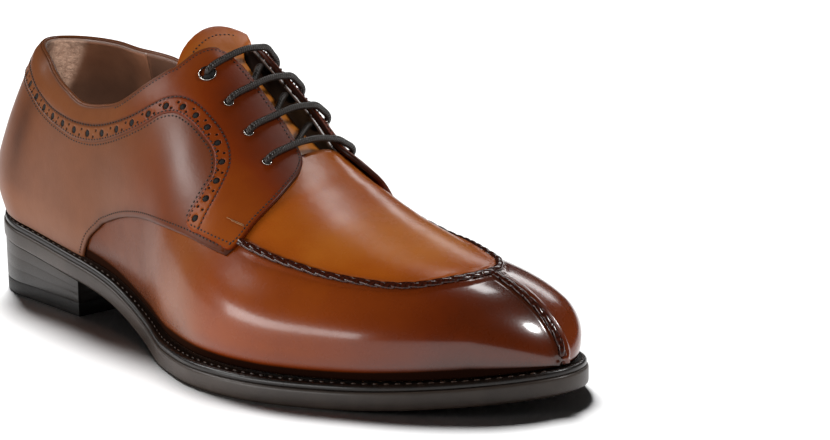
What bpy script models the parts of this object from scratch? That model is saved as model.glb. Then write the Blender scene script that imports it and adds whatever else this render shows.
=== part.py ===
"""Right brogue derby with an apron, a split toe and four pairs of eyelets.

Sizes are in millimetres and the scene in metres.
Stations run along the shoe from the back of the outsole. Lateral is -Y, medial is +Y.
On the upper a turn of 0 is the top ridge, 1 the widest line and 2 the feather edge above the welt.
"""

import math

import bmesh
import bpy
import numpy as np
from mathutils.geometry import delaunay_2d_cdt

# Sole
SOLE_LENGTH = 305.0
HEEL_ROUND = 34.0
TOE_ROUND = 62.0
TOE_POWER = 2.2
TOE_SWING = 16.0
SWING_START = 200.0
HEEL_BREAST = 78.0
SEAT_AT_BREAST = 15.2
SEAT_AT_BACK = 25.6
TREAD_START = 159.0
TREAD_END = 232.0
TOE_SPRING = 5.5
OUTSOLE_THICK = 7.0
TOP_PIECE_THICK = 6.0
HEEL_INSET = 0.6
WELT_THICK = 2.6
WELT_INSET = 0.8
WELT_LEDGE = 4.0
INSOLE_THICK = 2.7
GAP = 0.3

# Upper
WALL = 1.6
COVER_GAP = 0.4
QUARTER_THICK = 1.0
COLLAR_THICK = 1.5
JOINT = 0.5
CLEAR_OF_EDGE = 1.5
TOE_DROP = 40.0
TOE_DROP_POWER = 2.3
LEAN_REACH = 95.0
THROAT_FRONT = 186.0
TONGUE_THICK = 1.8
TONGUE_DEPTH = 4.9

# Lacing and raised seams
LACE_RADIUS = 1.2
LACE_BEND = 1.9
EYELET_OUTER = 2.6
EYELET_INNER = 1.7
EYELET_THICK = 0.8
EYELET_HOLE = 2.0
APRON_SEAM_WIDTH = 3.0
APRON_SEAM_RISE = 2.0
TOE_SEAM_WIDTH = 3.4
TOE_SEAM_RISE = 1.7

LATERAL, MEDIAL = -1, 1
SIDE_MM = 80.0
UNDER_MM = 20.0


def table(names, rows):
    return dict(zip(names.split(), np.array(rows, float).T))


SOLE = table("station lateral medial", [
    (0, 31.0, 32.0),
    (40, 31.6, 33.0),
    (75, 34.0, 31.0),
    (105, 36.0, 26.5),
    (135, 44.0, 27.5),
    (160, 55.0, 33.0),
    (185, 62.0, 41.0),
    (215, 60.5, 47.5),
    (250, 48.5, 46.5),
    (280, 38.5, 42.5),
    (305, 32.0, 38.0),
])

FEATHER = table("station inset", [
    (0, 2.5),
    (60, 3.0),
    (110, 4.5),
    (170, 6.0),
    (240, 5.5),
    (305, 3.5),
])

LAST_COLUMNS = "station ridge ridge_offset wide_height lateral_bulge medial_bulge lateral_power medial_power"
LAST = table(LAST_COLUMNS, [
    (0, 114.0, 0.0, 18, 2.5, 2.5, 1.75, 1.75),
    (35, 121.0, 0.0, 18, 2.5, 2.5, 1.75, 1.75),
    (75, 136.0, 1.5, 19, 4.0, 3.5, 1.90, 1.90),
    (105, 132.0, 3.0, 20, 5.0, 4.5, 2.00, 2.00),
    (130, 119.0, 4.0, 20, 5.0, 5.5, 2.00, 2.00),
    (150, 105.0, 4.5, 19, 4.0, 5.5, 2.00, 2.00),
    (170, 90.0, 5.0, 16, 2.5, 4.0, 2.00, 1.95),
    (190, 76.0, 5.0, 13, 1.5, 2.5, 2.00, 1.90),
    (215, 62.5, 4.0, 12, 1.5, 1.5, 2.05, 1.88),
    (240, 53.5, 2.5, 12, 1.5, 1.5, 2.10, 1.90),
    (270, 46.0, 0.5, 12, 2.0, 2.5, 2.10, 2.00),
    (305, 40.5, 0.0, 11, 2.5, 4.5, 2.10, 2.10),
])

HEEL_LEAN = table("station lean", [
    (20, 0.5),
    (36, 0.0),
    (46, -2.2),
    (54, -1.5),
    (68, 3.5),
    (86, 10.5),
    (105, 17.5),
    (125, 25.0),
])

TOPLINE = table("station lateral medial", [
    (2.5, 0.335, 0.335),
    (15, 0.380, 0.370),
    (30, 0.441, 0.420),
    (46, 0.540, 0.495),
    (64, 0.625, 0.565),
    (84, 0.673, 0.610),
    (96, 0.657, 0.605),
    (108, 0.609, 0.565),
    (120, 0.492, 0.475),
    (128, 0.362, 0.375),
    (133, 0.240, 0.280),
    (138, 0.135, 0.200),
    (144, 0.090, 0.168),
    (158, 0.085, 0.165),
    (171, 0.092, 0.168),
    (186, 0.106, 0.175),
    (305, 0.106, 0.175),
])

# From the foot of the facing round the tab, then along the punched border to the back of the collar
COLLAR_EDGE = table("station turn", [
    (185.0, 0.106),
    (188.5, 0.122),
    (192.1, 0.164),
    (195.2, 0.248),
    (197.2, 0.349),
    (197.6, 0.473),
    (197.2, 0.581),
    (194.8, 0.660),
    (187.0, 0.686),
    (179.5, 0.706),
    (174.0, 0.722),
    (171.4, 0.706),
    (171.0, 0.665),
    (171.4, 0.609),
    (171.8, 0.541),
    (171.4, 0.465),
    (167.5, 0.422),
    (157.8, 0.413),
    (149.2, 0.429),
    (141.8, 0.461),
    (136.3, 0.505),
    (127.7, 0.593),
    (116.4, 0.677),
    (104.7, 0.737),
    (93.8, 0.770),
    (82.8, 0.778),
    (66.4, 0.754),
    (45.0, 0.681),
    (29.0, 0.601),
    (12.0, 0.535),
    (2.51, 0.500),
])

# Folded lower edge of the quarter, from the punched border back to the welt
QUARTER_EDGE = table("station turn", [
    (170.6, 0.738),
    (163.6, 0.762),
    (146.1, 0.818),
    (130.5, 0.870),
    (115.2, 0.922),
    (102.7, 0.985),
    (92.2, 1.222),
    (86.0, 1.575),
    (81.0, 1.880),
    (79.5, 1.960),
])
BORDER_ROW = 11
FEATHER_TURN = 1.96

APRON_LINE = table("station turn", [
    (199.6, 0.578),
    (209.7, 0.561),
    (222.6, 0.541),
    (234.3, 0.530),
    (245.6, 0.503),
    (256.5, 0.461),
    (263.0, 0.400),
    (269.0, 0.257),
    (271.6, 0.120),
    (272.4, 0.000),
])

EYELETS = table("station lateral medial", [
    (143.3, 0.244, 0.318),
    (157.0, 0.238, 0.315),
    (170.3, 0.244, 0.320),
    (183.1, 0.258, 0.332),
])

TONGUE_RISE = table("station lift", [
    (118, -0.8),
    (126, -1.8),
    (134, -4.0),
    (146, -TONGUE_DEPTH),
    (181, -TONGUE_DEPTH),
    (188, -3.9),
    (195, -WALL - 0.7),
    (210, -WALL - 0.7),
])

TONGUE_EDGE = table("station turn", [
    (125.4, 0.000),
    (125.8, 0.150),
    (127.0, 0.270),
    (131.0, 0.370),
    (138.0, 0.415),
    (155.0, 0.420),
    (175.0, 0.400),
    (192.0, 0.360),
    (200.0, 0.320),
    (203.0, 0.200),
    (203.6, 0.000),
])


FEATHER_RISE = OUTSOLE_THICK + WELT_THICK + 2 * GAP
HEEL_END = FEATHER["inset"][0]
TOE_END = SOLE_LENGTH - FEATHER["inset"][-1]


def smooth(rows, column, at):
    """Cubic through one column of a table, with slopes taken from the neighbouring rows."""
    stations = rows["station"]
    values = rows[column]
    slopes = np.gradient(values, stations)
    at = np.clip(at, stations[0], stations[-1])
    i = np.clip(np.searchsorted(stations, at) - 1, 0, len(stations) - 2)
    h = stations[i + 1] - stations[i]
    t = (at - stations[i]) / h
    start = values[i] * (2 * t**3 - 3 * t**2 + 1) + slopes[i] * h * (t**3 - 2 * t**2 + t)
    return start + values[i + 1] * (3 * t**2 - 2 * t**3) + slopes[i + 1] * h * (t**3 - t**2)


def flatten(spots):
    """Stations and turns laid out flat, close to the true distances on the upper."""
    x, turn = spots[..., 0], spots[..., 1]
    round_end = HEEL_ROUND - HEEL_END
    angle = np.arccos(np.clip(1 - (x - HEEL_END) / round_end, 0, 1))
    flat_x = np.where(x < HEEL_ROUND, HEEL_ROUND + round_end * (angle - math.pi / 2), x)
    return np.stack([flat_x, SIDE_MM * np.minimum(turn, 1) + UNDER_MM * np.maximum(turn - 1, 0)], -1)


def unflatten(flat):
    x, y = flat[..., 0], flat[..., 1]
    round_end = HEEL_ROUND - HEEL_END
    angle = (np.minimum(x, HEEL_ROUND) - HEEL_ROUND) / round_end + math.pi / 2
    station = np.where(x < HEEL_ROUND, HEEL_END + round_end * (1 - np.cos(angle)), x)
    return np.stack([station, np.minimum(y / SIDE_MM, 1) + np.maximum(y - SIDE_MM, 0) / UNDER_MM], -1)


def rounded_path(rows, spacing, start=0):
    """Points along a smooth line through the rows of a station and turn table, about evenly spaced."""
    knots = flatten(np.stack([rows["station"], rows["turn"]], 1)[start:])
    run = np.concatenate([[0], np.cumsum(np.linalg.norm(np.diff(knots, axis=0), axis=1))])
    count = max(2, int(round(run[-1] / spacing)))
    along = np.linspace(0, run[-1], count + 1)
    line = {"station": run, "x": knots[:, 0], "y": knots[:, 1]}
    return unflatten(np.stack([smooth(line, "x", along), smooth(line, "y", along)], 1))


# Sole forms
def sole_bottom(x):
    fall = (SEAT_AT_BREAST - SEAT_AT_BACK) / HEEL_BREAST
    run = TREAD_START - HEEL_BREAST
    t = np.clip((x - HEEL_BREAST) / run, 0, 1)
    waist = SEAT_AT_BREAST * (2 * t**3 - 3 * t**2 + 1) + fall * run * (t**3 - 2 * t**2 + t)
    spring = TOE_SPRING * np.clip((x - TREAD_END) / (SOLE_LENGTH - TREAD_END), 0, None) ** 2
    return np.where(x < HEEL_BREAST, SEAT_AT_BREAST + fall * (x - HEEL_BREAST), waist) + spring


def above_sole(height):
    return lambda x: sole_bottom(x) + height


def axis_y(x):
    return TOE_SWING * np.clip((x - SWING_START) / (SOLE_LENGTH - SWING_START), 0, None) ** 2


def end_round(x, heel_inset, toe_inset):
    heel = np.clip(1 - (x - heel_inset) / (HEEL_ROUND - heel_inset), 0, 1)
    toe = np.clip(1 - (SOLE_LENGTH - toe_inset - x) / (TOE_ROUND - toe_inset), 0, 1)
    return np.sqrt(np.clip(1 - heel**2, 0, 1)) * np.sqrt(np.clip(1 - toe**TOE_POWER, 0, 1))


def half_width(x, side, inset, heel_inset, toe_inset):
    column = "lateral" if side == LATERAL else "medial"
    return (smooth(SOLE, column, x) - inset) * end_round(x, heel_inset, toe_inset)


def last_point(x, side, turn):
    """Outer face of the vamp at a station, side and turn."""
    x, turn = np.broadcast_arrays(np.asarray(x, float), np.asarray(turn, float))
    name = "lateral" if side == LATERAL else "medial"
    cap = end_round(x, HEEL_END, SOLE_LENGTH - TOE_END)
    drop = np.clip(1 - (TOE_END - x) / TOE_DROP, 0, 1)
    tall = np.sqrt(np.clip(1 - drop**TOE_DROP_POWER, 0, 1))
    foot = sole_bottom(x) + FEATHER_RISE
    ridge = foot + (smooth(LAST, "ridge", x) - foot) * tall
    wide = foot + np.minimum(smooth(LAST, "wide_height", x), 0.45 * (ridge - foot))
    axis = axis_y(x)
    ridge_y = axis + smooth(LAST, "ridge_offset", x) * cap
    inset = smooth(FEATHER, "inset", x)
    foot_y = axis + side * half_width(x, side, inset, HEEL_END, SOLE_LENGTH - TOE_END)
    wide_y = foot_y + side * smooth(LAST, name + "_bulge", x) * cap
    power = 2 / smooth(LAST, name + "_power", x)
    angle = np.clip(turn, 0, 1) * math.pi / 2
    under = np.clip(turn - 1, 0, 1)
    y_top = ridge_y + (wide_y - ridge_y) * np.sin(angle) ** power
    z_top = wide + (ridge - wide) * np.clip(np.cos(angle), 0, 1) ** power
    y = np.where(turn <= 1, y_top, wide_y + (foot_y - wide_y) * under**2.4)
    z = np.where(turn <= 1, z_top, wide - (wide - foot) * under)
    near_heel = np.clip(1 - (x - HEEL_END) / LEAN_REACH, 0, 1)
    lean = smooth(HEEL_LEAN, "lean", z) * near_heel**2 * (3 - 2 * near_heel)
    return np.stack([x + lean, y, z], -1)


def last_normal(x, side, turn):
    """Unit vector out of the upper."""
    x, turn = np.broadcast_arrays(np.asarray(x, float), np.asarray(turn, float))
    behind, ahead = np.clip(x - 0.05, HEEL_END, TOE_END), np.clip(x + 0.05, HEEL_END, TOE_END)
    above, below = np.clip(turn - 0.004, 0, 2), np.clip(turn + 0.004, 0, 2)
    inner = np.clip(x, HEEL_END + 0.002, TOE_END - 0.002)
    along = last_point(ahead, side, turn) - last_point(behind, side, turn)
    down = last_point(inner, side, below) - last_point(inner, side, above)
    out = np.cross(along, down) * side
    out[..., 1] *= np.where(turn == 0, 0.0, 1.0)
    out = np.where((x <= HEEL_END)[..., None], out * (1, 0, 1), out)
    out = np.where((x >= TOE_END)[..., None], (1.0, 0.0, 0.0), out)
    return out / np.linalg.norm(out, axis=-1, keepdims=True)


def on_upper(x, side, turn, lift):
    return last_point(x, side, turn) + last_normal(x, side, turn) * np.asarray(lift)[..., None]


def from_heel_to_toe(start, end, count):
    return start + (end - start) * (1 - np.cos(np.linspace(0, math.pi, count))) / 2


QUARTER_HIGH = COVER_GAP + QUARTER_THICK
COLLAR_HIGH = COVER_GAP + COLLAR_THICK
edge = np.linspace(0, SOLE_LENGTH, 600)
back = on_upper(HEEL_END, MEDIAL, np.linspace(0.5, 1.9, 80), QUARTER_HIGH + np.zeros(80))
MIDDLE_X = (SOLE_LENGTH + back[:, 0].min()) / 2
MIDDLE_Y = (
    (axis_y(edge) - half_width(edge, LATERAL, 0, 0, 0)).min()
    + (axis_y(edge) + half_width(edge, MEDIAL, 0, 0, 0)).max()
) / 2


# Objects
def material(name, colour, roughness):
    made = bpy.data.materials.new(name)
    made.use_nodes = True
    shader = made.node_tree.nodes["Principled BSDF"]
    shader.inputs["Base Color"].default_value = (*colour, 1)
    shader.inputs["Roughness"].default_value = roughness
    made.diffuse_color = (*colour, 1)
    return made


def to_scene(points):
    return (np.asarray(points, float) - (MIDDLE_X, MIDDLE_Y, 0)) / 1000


def solid(name, points, faces, look):
    """One closed object from points and faces. Points that fall together are merged."""
    mesh = bmesh.new()
    corners = [mesh.verts.new(p) for p in to_scene(points)]
    for face in faces:
        loop = [corners[i] for i in face]
        mesh.faces.new(loop)
    bmesh.ops.remove_doubles(mesh, verts=mesh.verts, dist=2e-6)
    bmesh.ops.recalc_face_normals(mesh, faces=mesh.faces)
    data = bpy.data.meshes.new(name)
    mesh.to_mesh(data)
    mesh.free()
    made = bpy.data.objects.new(name, data)
    bpy.context.scene.collection.objects.link(made)
    data.materials.append(look)
    return made


def merged(points, faces):
    """Point numbers and faces once equal points are one. Faces that collapse lose a corner or go."""
    _, first, index = np.unique(np.round(points, 3), axis=0, return_index=True, return_inverse=True)
    index = index.reshape(-1)
    kept = []
    for face in faces:
        loop = []
        for corner in index[list(face)]:
            if corner not in loop:
                loop.append(int(corner))
        if len(loop) > 2:
            kept.append(loop)
    return first, kept


def thick_sheet(name, outer, inner, faces, look, places=None):
    """A sheet with two faces and a rim round each of its open edges. Equal places become one point."""
    first, faces = merged(outer if places is None else places, faces)
    outer, inner = outer[first], inner[first]
    count = len(outer)
    rim = {}
    for face in faces:
        for a, b in zip(face, face[1:] + face[:1]):
            if (b, a) in rim:
                del rim[(b, a)]
            else:
                rim[(a, b)] = True
    walls = [(b, a, a + count, b + count) for a, b in rim]
    back = [[i + count for i in reversed(face)] for face in faces]
    return solid(name, np.concatenate([outer, inner]), faces + back + walls, look)


def plate(name, stations, inset, heel_inset, toe_inset, bottom, top, look):
    """A solid between two heights with the sole's outline drawn in by an inset."""
    rows = []
    for side in (LATERAL, MEDIAL):
        y = axis_y(stations) + side * half_width(stations, side, inset(stations), heel_inset, toe_inset)
        for height in (bottom, top):
            rows.append(np.stack([stations, y, height(stations)], 1))
    low_lateral, high_lateral, low_medial, high_medial = range(4)
    ring = (low_lateral, low_medial, high_medial, high_lateral)
    count = len(stations)
    points = np.concatenate(rows)
    quads = []
    for i in range(count - 1):
        for a, b in zip(ring, ring[1:] + ring[:1]):
            quads.append((a * count + i, b * count + i, b * count + i + 1, a * count + i + 1))
    quads.append(tuple(r * count for r in ring))
    quads.append(tuple(r * count + count - 1 for r in reversed(ring)))
    first, faces = merged(points, quads)
    return solid(name, points[first], faces, look)


def panel(name, outline, spots, side, low, high, look):
    """A piece of the upper's covering inside an outline of stations and turns, between two lifts.

    The spots inside it are those of the upper's own grid, so its facets run along with the upper's.
    """
    flat = flatten(outline)
    ends = np.roll(flat, -1, axis=0)
    step = ends - flat
    inside = []
    for spot in flatten(spots):
        t = np.clip(((spot - flat) * step).sum(1) / np.maximum((step**2).sum(1), 1e-9), 0, 1)
        near = np.linalg.norm(flat + step * t[:, None] - spot, axis=1).min()
        crossed = (flat[:, 1] > spot[1]) != (ends[:, 1] > spot[1])
        rise = np.where(step[:, 1] == 0, 1e-9, step[:, 1])
        reach = flat[:, 0] + step[:, 0] * (spot[1] - flat[:, 1]) / rise
        if near > CLEAR_OF_EDGE and (crossed & (reach > spot[0])).sum() % 2 == 1:
            inside.append(tuple(spot))
    points = [tuple(p) for p in flat] + inside
    edges = [(i, (i + 1) % len(flat)) for i in range(len(flat))]
    found = delaunay_2d_cdt(points, edges, [list(range(len(flat)))], 1, 1e-6)
    x, turn = unflatten(np.array([tuple(p) for p in found[0]])).T
    faces = [list(face) for face in found[2]]
    outer = on_upper(x, side, turn, high + 0 * x)
    inner = on_upper(x, side, turn, low + 0 * x)
    return thick_sheet(name, outer, inner, faces, look)


def raised_seam(name, spots, width, rise, look):
    """A low round ridge along (station, side, turn) spots on the upper."""
    middle = np.array([on_upper(x, side, turn, 0.0) for x, side, turn in spots])
    out = np.array([last_normal(x, side, turn) for x, side, turn in spots])
    ahead = np.gradient(middle, axis=0)
    across = np.cross(out, ahead)
    across /= np.linalg.norm(across, axis=1, keepdims=True)
    profile = [(-0.5, GAP), (-0.4, 0.7 * rise), (0.0, rise), (0.4, 0.7 * rise), (0.5, GAP)]
    count = len(profile)
    points = [m + a * width * u + o * v for m, a, o in zip(middle, across, out) for u, v in profile]
    faces = []
    for i in range(len(spots) - 1):
        for j in range(count):
            k = (j + 1) % count
            faces.append((i * count + j, i * count + k, (i + 1) * count + k, (i + 1) * count + j))
    faces.append(tuple(range(count)))
    faces.append(tuple((len(spots) - 1) * count + j for j in reversed(range(count))))
    return solid(name, points, faces, look)


for old in list(bpy.data.objects):
    bpy.data.objects.remove(old)

edge_look = material("sole_edge", (0.045, 0.034, 0.030), 0.45)
rubber_look = material("top_piece_rubber", (0.030, 0.027, 0.026), 0.6)
welt_look = material("welt_leather", (0.020, 0.013, 0.010), 0.45)
insole_look = material("insole_leather", (0.33, 0.22, 0.13), 0.6)
vamp_look = material("vamp_leather", (0.21, 0.065, 0.022), 0.25)
quarter_look = material("quarter_leather", (0.19, 0.085, 0.045), 0.28)
collar_look = material("collar_leather", (0.17, 0.060, 0.028), 0.28)
tongue_look = material("tongue_leather", (0.42, 0.17, 0.045), 0.3)
seam_look = material("seam_cord", (0.035, 0.018, 0.012), 0.5)
eyelet_look = material("eyelet_metal", (0.10, 0.09, 0.085), 0.3)
lace_look = material("lace_cord", (0.040, 0.033, 0.030), 0.6)


# Sole unit
def no_inset(x):
    return 0 * x


def heel_inset(x):
    return HEEL_INSET + 0 * x


def insole_inset(x):
    return smooth(FEATHER, "inset", x) + WELT_LEDGE + GAP


plate("outsole", from_heel_to_toe(0, SOLE_LENGTH, 52), no_inset, 0, 0,
      above_sole(0), above_sole(OUTSOLE_THICK), edge_look)

heel_stations = HEEL_INSET + (HEEL_BREAST - HEEL_INSET) * (1 - np.cos(np.linspace(0, math.pi / 2, 18)))
plate("heel_stack", heel_stations, heel_inset, HEEL_INSET, 0,
      lambda x: TOP_PIECE_THICK + GAP + 0 * x, above_sole(-GAP), edge_look)
plate("heel_top_piece", heel_stations, heel_inset, HEEL_INSET, 0,
      lambda x: 0 * x, lambda x: TOP_PIECE_THICK + 0 * x, rubber_look)

insole_heel = HEEL_END + WELT_LEDGE + GAP
insole_toe = SOLE_LENGTH - TOE_END + WELT_LEDGE + GAP
insole_low = OUTSOLE_THICK + GAP
insole_stations = from_heel_to_toe(insole_heel, SOLE_LENGTH - insole_toe, 40)
plate("insole", insole_stations, insole_inset, insole_heel, insole_toe,
      above_sole(insole_low), above_sole(insole_low + INSOLE_THICK), insole_look)


def ring_line(inset, heel_end, toe_end, count):
    """Closed outline of the sole drawn in by an inset: along the lateral side to the toe and back."""
    x = from_heel_to_toe(heel_end, SOLE_LENGTH - toe_end, count)
    lines = []
    for side, run in ((LATERAL, x), (MEDIAL, x[-2:0:-1])):
        y = axis_y(run) + side * half_width(run, side, inset(run), heel_end, toe_end)
        lines.append(np.stack([run, y], 1))
    return np.concatenate(lines)


rim = ring_line(lambda x: WELT_INSET + 0 * x, WELT_INSET, WELT_INSET, 44)
ledge = ring_line(lambda x: smooth(FEATHER, "inset", x) + WELT_LEDGE, HEEL_END + WELT_LEDGE,
                  SOLE_LENGTH - TOE_END + WELT_LEDGE, 44)
flat = np.concatenate([rim, ledge])
ring = len(rim)
welt_faces = [[i, (i + 1) % ring, (i + 1) % ring + ring, i + ring] for i in range(ring)]
welt_low = OUTSOLE_THICK + GAP
welt_lower = np.column_stack([flat, sole_bottom(flat[:, 0]) + welt_low])
thick_sheet("welt", welt_lower + (0, 0, WELT_THICK), welt_lower, welt_faces, welt_look)

# Upper: rows from the feather to the collar or throat edge, then over the ridge in front of the throat
UNDER_ROWS, SIDE_ROWS, TOP_ROWS = 3, 8, 3
LOW_ROWS = UNDER_ROWS + SIDE_ROWS
stations = from_heel_to_toe(HEEL_END, TOE_END, 39)
stations[np.abs(stations - THROAT_FRONT).argmin()] = THROAT_FRONT
throat = int(np.flatnonzero(stations == THROAT_FRONT)[0])
grid_x, grid_turn, grid_side, upper_faces = [], [], [], []
for side, name in ((LATERAL, "lateral"), (MEDIAL, "medial")):
    start = len(grid_x)
    rows = LOW_ROWS + TOP_ROWS + 1
    for x in stations:
        opening = float(smooth(TOPLINE, name, x))
        turns = np.concatenate([
            np.linspace(2, 1, UNDER_ROWS + 1),
            np.linspace(1, opening, SIDE_ROWS + 1)[1:],
            np.linspace(opening, 0, TOP_ROWS + 1)[1:],
        ])
        grid_x += [x] * rows
        grid_turn += list(turns)
        grid_side += [side] * rows
    for i in range(len(stations) - 1):
        for j in range(LOW_ROWS + (TOP_ROWS if i >= throat else 0)):
            a = start + i * rows + j
            loop = [a, a + rows, a + rows + 1, a + 1]
            upper_faces.append(loop if side == LATERAL else loop[::-1])
grid_x, grid_turn, grid_side = np.array(grid_x), np.array(grid_turn), np.array(grid_side)


def upper_points(lift):
    points = np.empty((len(grid_x), 3))
    for side in (LATERAL, MEDIAL):
        mine = grid_side == side
        points[mine] = on_upper(grid_x[mine], side, grid_turn[mine], lift + 0 * grid_x[mine])
    return points


used = np.unique(np.concatenate([np.array(face) for face in upper_faces]))
number = np.full(len(grid_x), -1)
number[used] = np.arange(len(used))
upper_faces = [[int(number[i]) for i in face] for face in upper_faces]
upper = thick_sheet("upper", upper_points(0.0)[used], upper_points(-WALL)[used], upper_faces, vamp_look)

# Quarters and the collar and facing pieces laid over them
BACK_SEAM = HEEL_END + 0.004


def top_edge(name, end, count):
    """The collar and facing edge, from the back seam to the foot of the facing."""
    behind = stations[(stations > HEEL_END) & (stations < 122)]
    x = np.concatenate([[BACK_SEAM], behind, np.linspace(126, end, count)])
    return np.stack([x, smooth(TOPLINE, name, x)], 1)


def back_seam(start, end, count):
    turns = np.linspace(start, end, count + 2)[1:-1]
    return np.stack([np.full(count, BACK_SEAM), turns], 1)


def medial_edge(line):
    """The same line on the medial side, where the facing edge stands a little farther from the ridge."""
    moved = line.copy()
    nearest = np.clip((0.45 - line[:, 1]) / 0.35, 0, 1)
    moved[:, 1] += 0.068 * nearest * np.clip((line[:, 0] - 150) / 30, 0, 1)
    return moved


def shifted(line, distance):
    """The line moved sideways, to the right of its own direction."""
    flat = flatten(line)
    ahead = np.gradient(flat, axis=0)
    ahead /= np.linalg.norm(ahead, axis=1, keepdims=True)
    return unflatten(flat + distance * np.stack([ahead[:, 1], -ahead[:, 0]], 1))


covers = []
for side, name in ((LATERAL, "lateral"), (MEDIAL, "medial")):
    spots = np.stack([grid_x, grid_turn], 1)[grid_side == side]
    collar = top_edge(name, 181.0, 11)
    border = rounded_path(COLLAR_EDGE, 5.0)
    joint = shifted(rounded_path(COLLAR_EDGE, 5.0, BORDER_ROW), JOINT)
    lower = rounded_path(QUARTER_EDGE, 6.0)
    if side == MEDIAL:
        border, joint, lower = medial_edge(border), medial_edge(joint), medial_edge(lower)
    border[-1, 0] = joint[-1, 0] = BACK_SEAM
    outline = np.concatenate([collar, border, back_seam(border[-1, 1], collar[0, 1], 2)])
    covers.append(panel("collar_facing_" + name, outline, spots, side, COVER_GAP, COLLAR_HIGH, collar_look))
    run = stations[(stations > HEEL_END) & (stations < lower[-1, 0] - 3)][::-1]
    feather = np.stack([np.append(run, BACK_SEAM), np.full(len(run) + 1, FEATHER_TURN)], 1)
    outline = np.concatenate([joint[::-1], lower, feather, back_seam(FEATHER_TURN, joint[-1, 1], 8)])
    covers.append(panel("quarter_" + name, outline, spots, side, COVER_GAP, QUARTER_HIGH, quarter_look))

# Tongue
edge_line = rounded_path(TONGUE_EDGE, 6.0)
rows = 4
tongue_x, tongue_turn, tongue_side, tongue_faces = [], [], [], []
tongue_stations = np.concatenate([
    np.linspace(125.4, 145, 6),
    np.linspace(150, 190, 8),
    np.linspace(194, 203.6, 4),
])
reach = np.interp(tongue_stations, edge_line[:, 0], edge_line[:, 1])
reach[0] = 0.16
reach[-1] = 0.16
for side in (LATERAL, MEDIAL):
    start = len(tongue_x)
    for x, wide in zip(tongue_stations, reach):
        tongue_x += [x] * (rows + 1)
        tongue_turn += list(np.linspace(0, wide, rows + 1))
        tongue_side += [side] * (rows + 1)
    for i in range(len(tongue_stations) - 1):
        for j in range(rows):
            a = start + i * (rows + 1) + j
            loop = [a, a + 1, a + rows + 2, a + rows + 1]
            tongue_faces.append(loop if side == LATERAL else loop[::-1])
tongue_x, tongue_turn, tongue_side = np.array(tongue_x), np.array(tongue_turn), np.array(tongue_side)


def tongue_points(drop):
    points = np.empty((len(tongue_x), 3))
    for side in (LATERAL, MEDIAL):
        mine = tongue_side == side
        lift = smooth(TONGUE_RISE, "lift", tongue_x[mine]) - drop
        points[mine] = on_upper(tongue_x[mine], side, tongue_turn[mine], lift)
    return points


places = np.empty((len(tongue_x), 3))
for side in (LATERAL, MEDIAL):
    mine = tongue_side == side
    places[mine] = last_point(tongue_x[mine], side, tongue_turn[mine])
thick_sheet("tongue", tongue_points(0.0), tongue_points(TONGUE_THICK), tongue_faces, tongue_look, places)

# Raised seams
apron = rounded_path(APRON_LINE, 6.0)
spots = [(x, LATERAL, turn) for x, turn in apron]
spots += [(x, MEDIAL, 0.92 * turn) for x, turn in apron[-2::-1]]
raised_seam("apron_seam", spots, APRON_SEAM_WIDTH, APRON_SEAM_RISE, seam_look)
toe_run = 301.2 - (301.2 - 275.4) * np.linspace(1, 0, 12) ** 1.7
raised_seam("toe_seam", [(x, MEDIAL, 0.03) for x in toe_run], TOE_SEAM_WIDTH, TOE_SEAM_RISE, seam_look)

# Eyelets, and the holes under them
RING_LOW = COLLAR_HIGH + GAP
hole_points, hole_faces = [], []
eyelet_spots = {}


def turned_ring(centre, out, forward, radius, lift, count):
    across = np.cross(out, forward)
    angles = np.linspace(0, 2 * math.pi, count, endpoint=False)
    return [centre + out * lift + radius * (forward * math.cos(a) + across * math.sin(a)) for a in angles]


for side, name in ((LATERAL, "lateral"), (MEDIAL, "medial")):
    for row, (x, turn) in enumerate(zip(EYELETS["station"], EYELETS[name])):
        centre = last_point(x, side, turn)
        out = last_normal(x, side, turn)
        forward = last_point(x + 1, side, turn) - centre
        forward -= out * forward.dot(out)
        forward /= np.linalg.norm(forward)
        eyelet_spots[side, row] = centre, out
        count = 10
        rings = [
            (EYELET_INNER, RING_LOW),
            (EYELET_OUTER, RING_LOW),
            (EYELET_OUTER - 0.25, RING_LOW + EYELET_THICK),
            (EYELET_INNER + 0.15, RING_LOW + EYELET_THICK),
        ]
        points = []
        for radius, lift in rings:
            points += turned_ring(centre, out, forward, radius, lift, count)
        faces = []
        for r in range(4):
            for i in range(count):
                j = (i + 1) % count
                s = (r + 1) % 4
                faces.append((r * count + i, r * count + j, s * count + j, s * count + i))
        solid(f"eyelet_{name}_{row + 1}", points, faces, eyelet_look)
        base = len(hole_points)
        count = 8
        for lift in (-5.0, 6.0):
            hole_points += turned_ring(centre, out, forward, EYELET_HOLE, lift, count)
        for i in range(count):
            j = (i + 1) % count
            hole_faces.append((base + i, base + j, base + count + j, base + count + i))
        hole_faces.append(tuple(base + i for i in reversed(range(count))))
        hole_faces.append(tuple(base + count + i for i in range(count)))

cutter = solid("eyelet_holes", hole_points, hole_faces, seam_look)
cutter.hide_render = True
cutter.display_type = "WIRE"
for piece in [upper] + covers:
    cut = piece.modifiers.new("eyelet_holes", "BOOLEAN")
    cut.operation = "DIFFERENCE"
    cut.object = cutter
# The exact solver drops the whole upper
upper.modifiers["eyelet_holes"].solver = "MANIFOLD"

# Lace: up through each outer eyelet, across, down through the inner one and back under to the next
OVER = COLLAR_HIGH + GAP + LACE_RADIUS + 0.1
BEND_OVER = RING_LOW + EYELET_THICK + GAP + LACE_RADIUS
UNDER = -(WALL + GAP + LACE_RADIUS + 0.15)


def between(start, end, count):
    """Stations, sides and turns on the way from one eyelet to another over the ridge."""
    (x0, side0, turn0), (x1, side1, turn1) = start, end
    t = np.linspace(0, 1, count)
    signed = turn0 * side0 + (turn1 * side1 - turn0 * side0) * t
    return [(x, LATERAL if s < 0 else MEDIAL, abs(s)) for x, s in zip(x0 + (x1 - x0) * t, signed)]


def eyelet_of(side, row):
    return EYELETS["station"][row], side, EYELETS["lateral" if side == LATERAL else "medial"][row]


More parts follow.
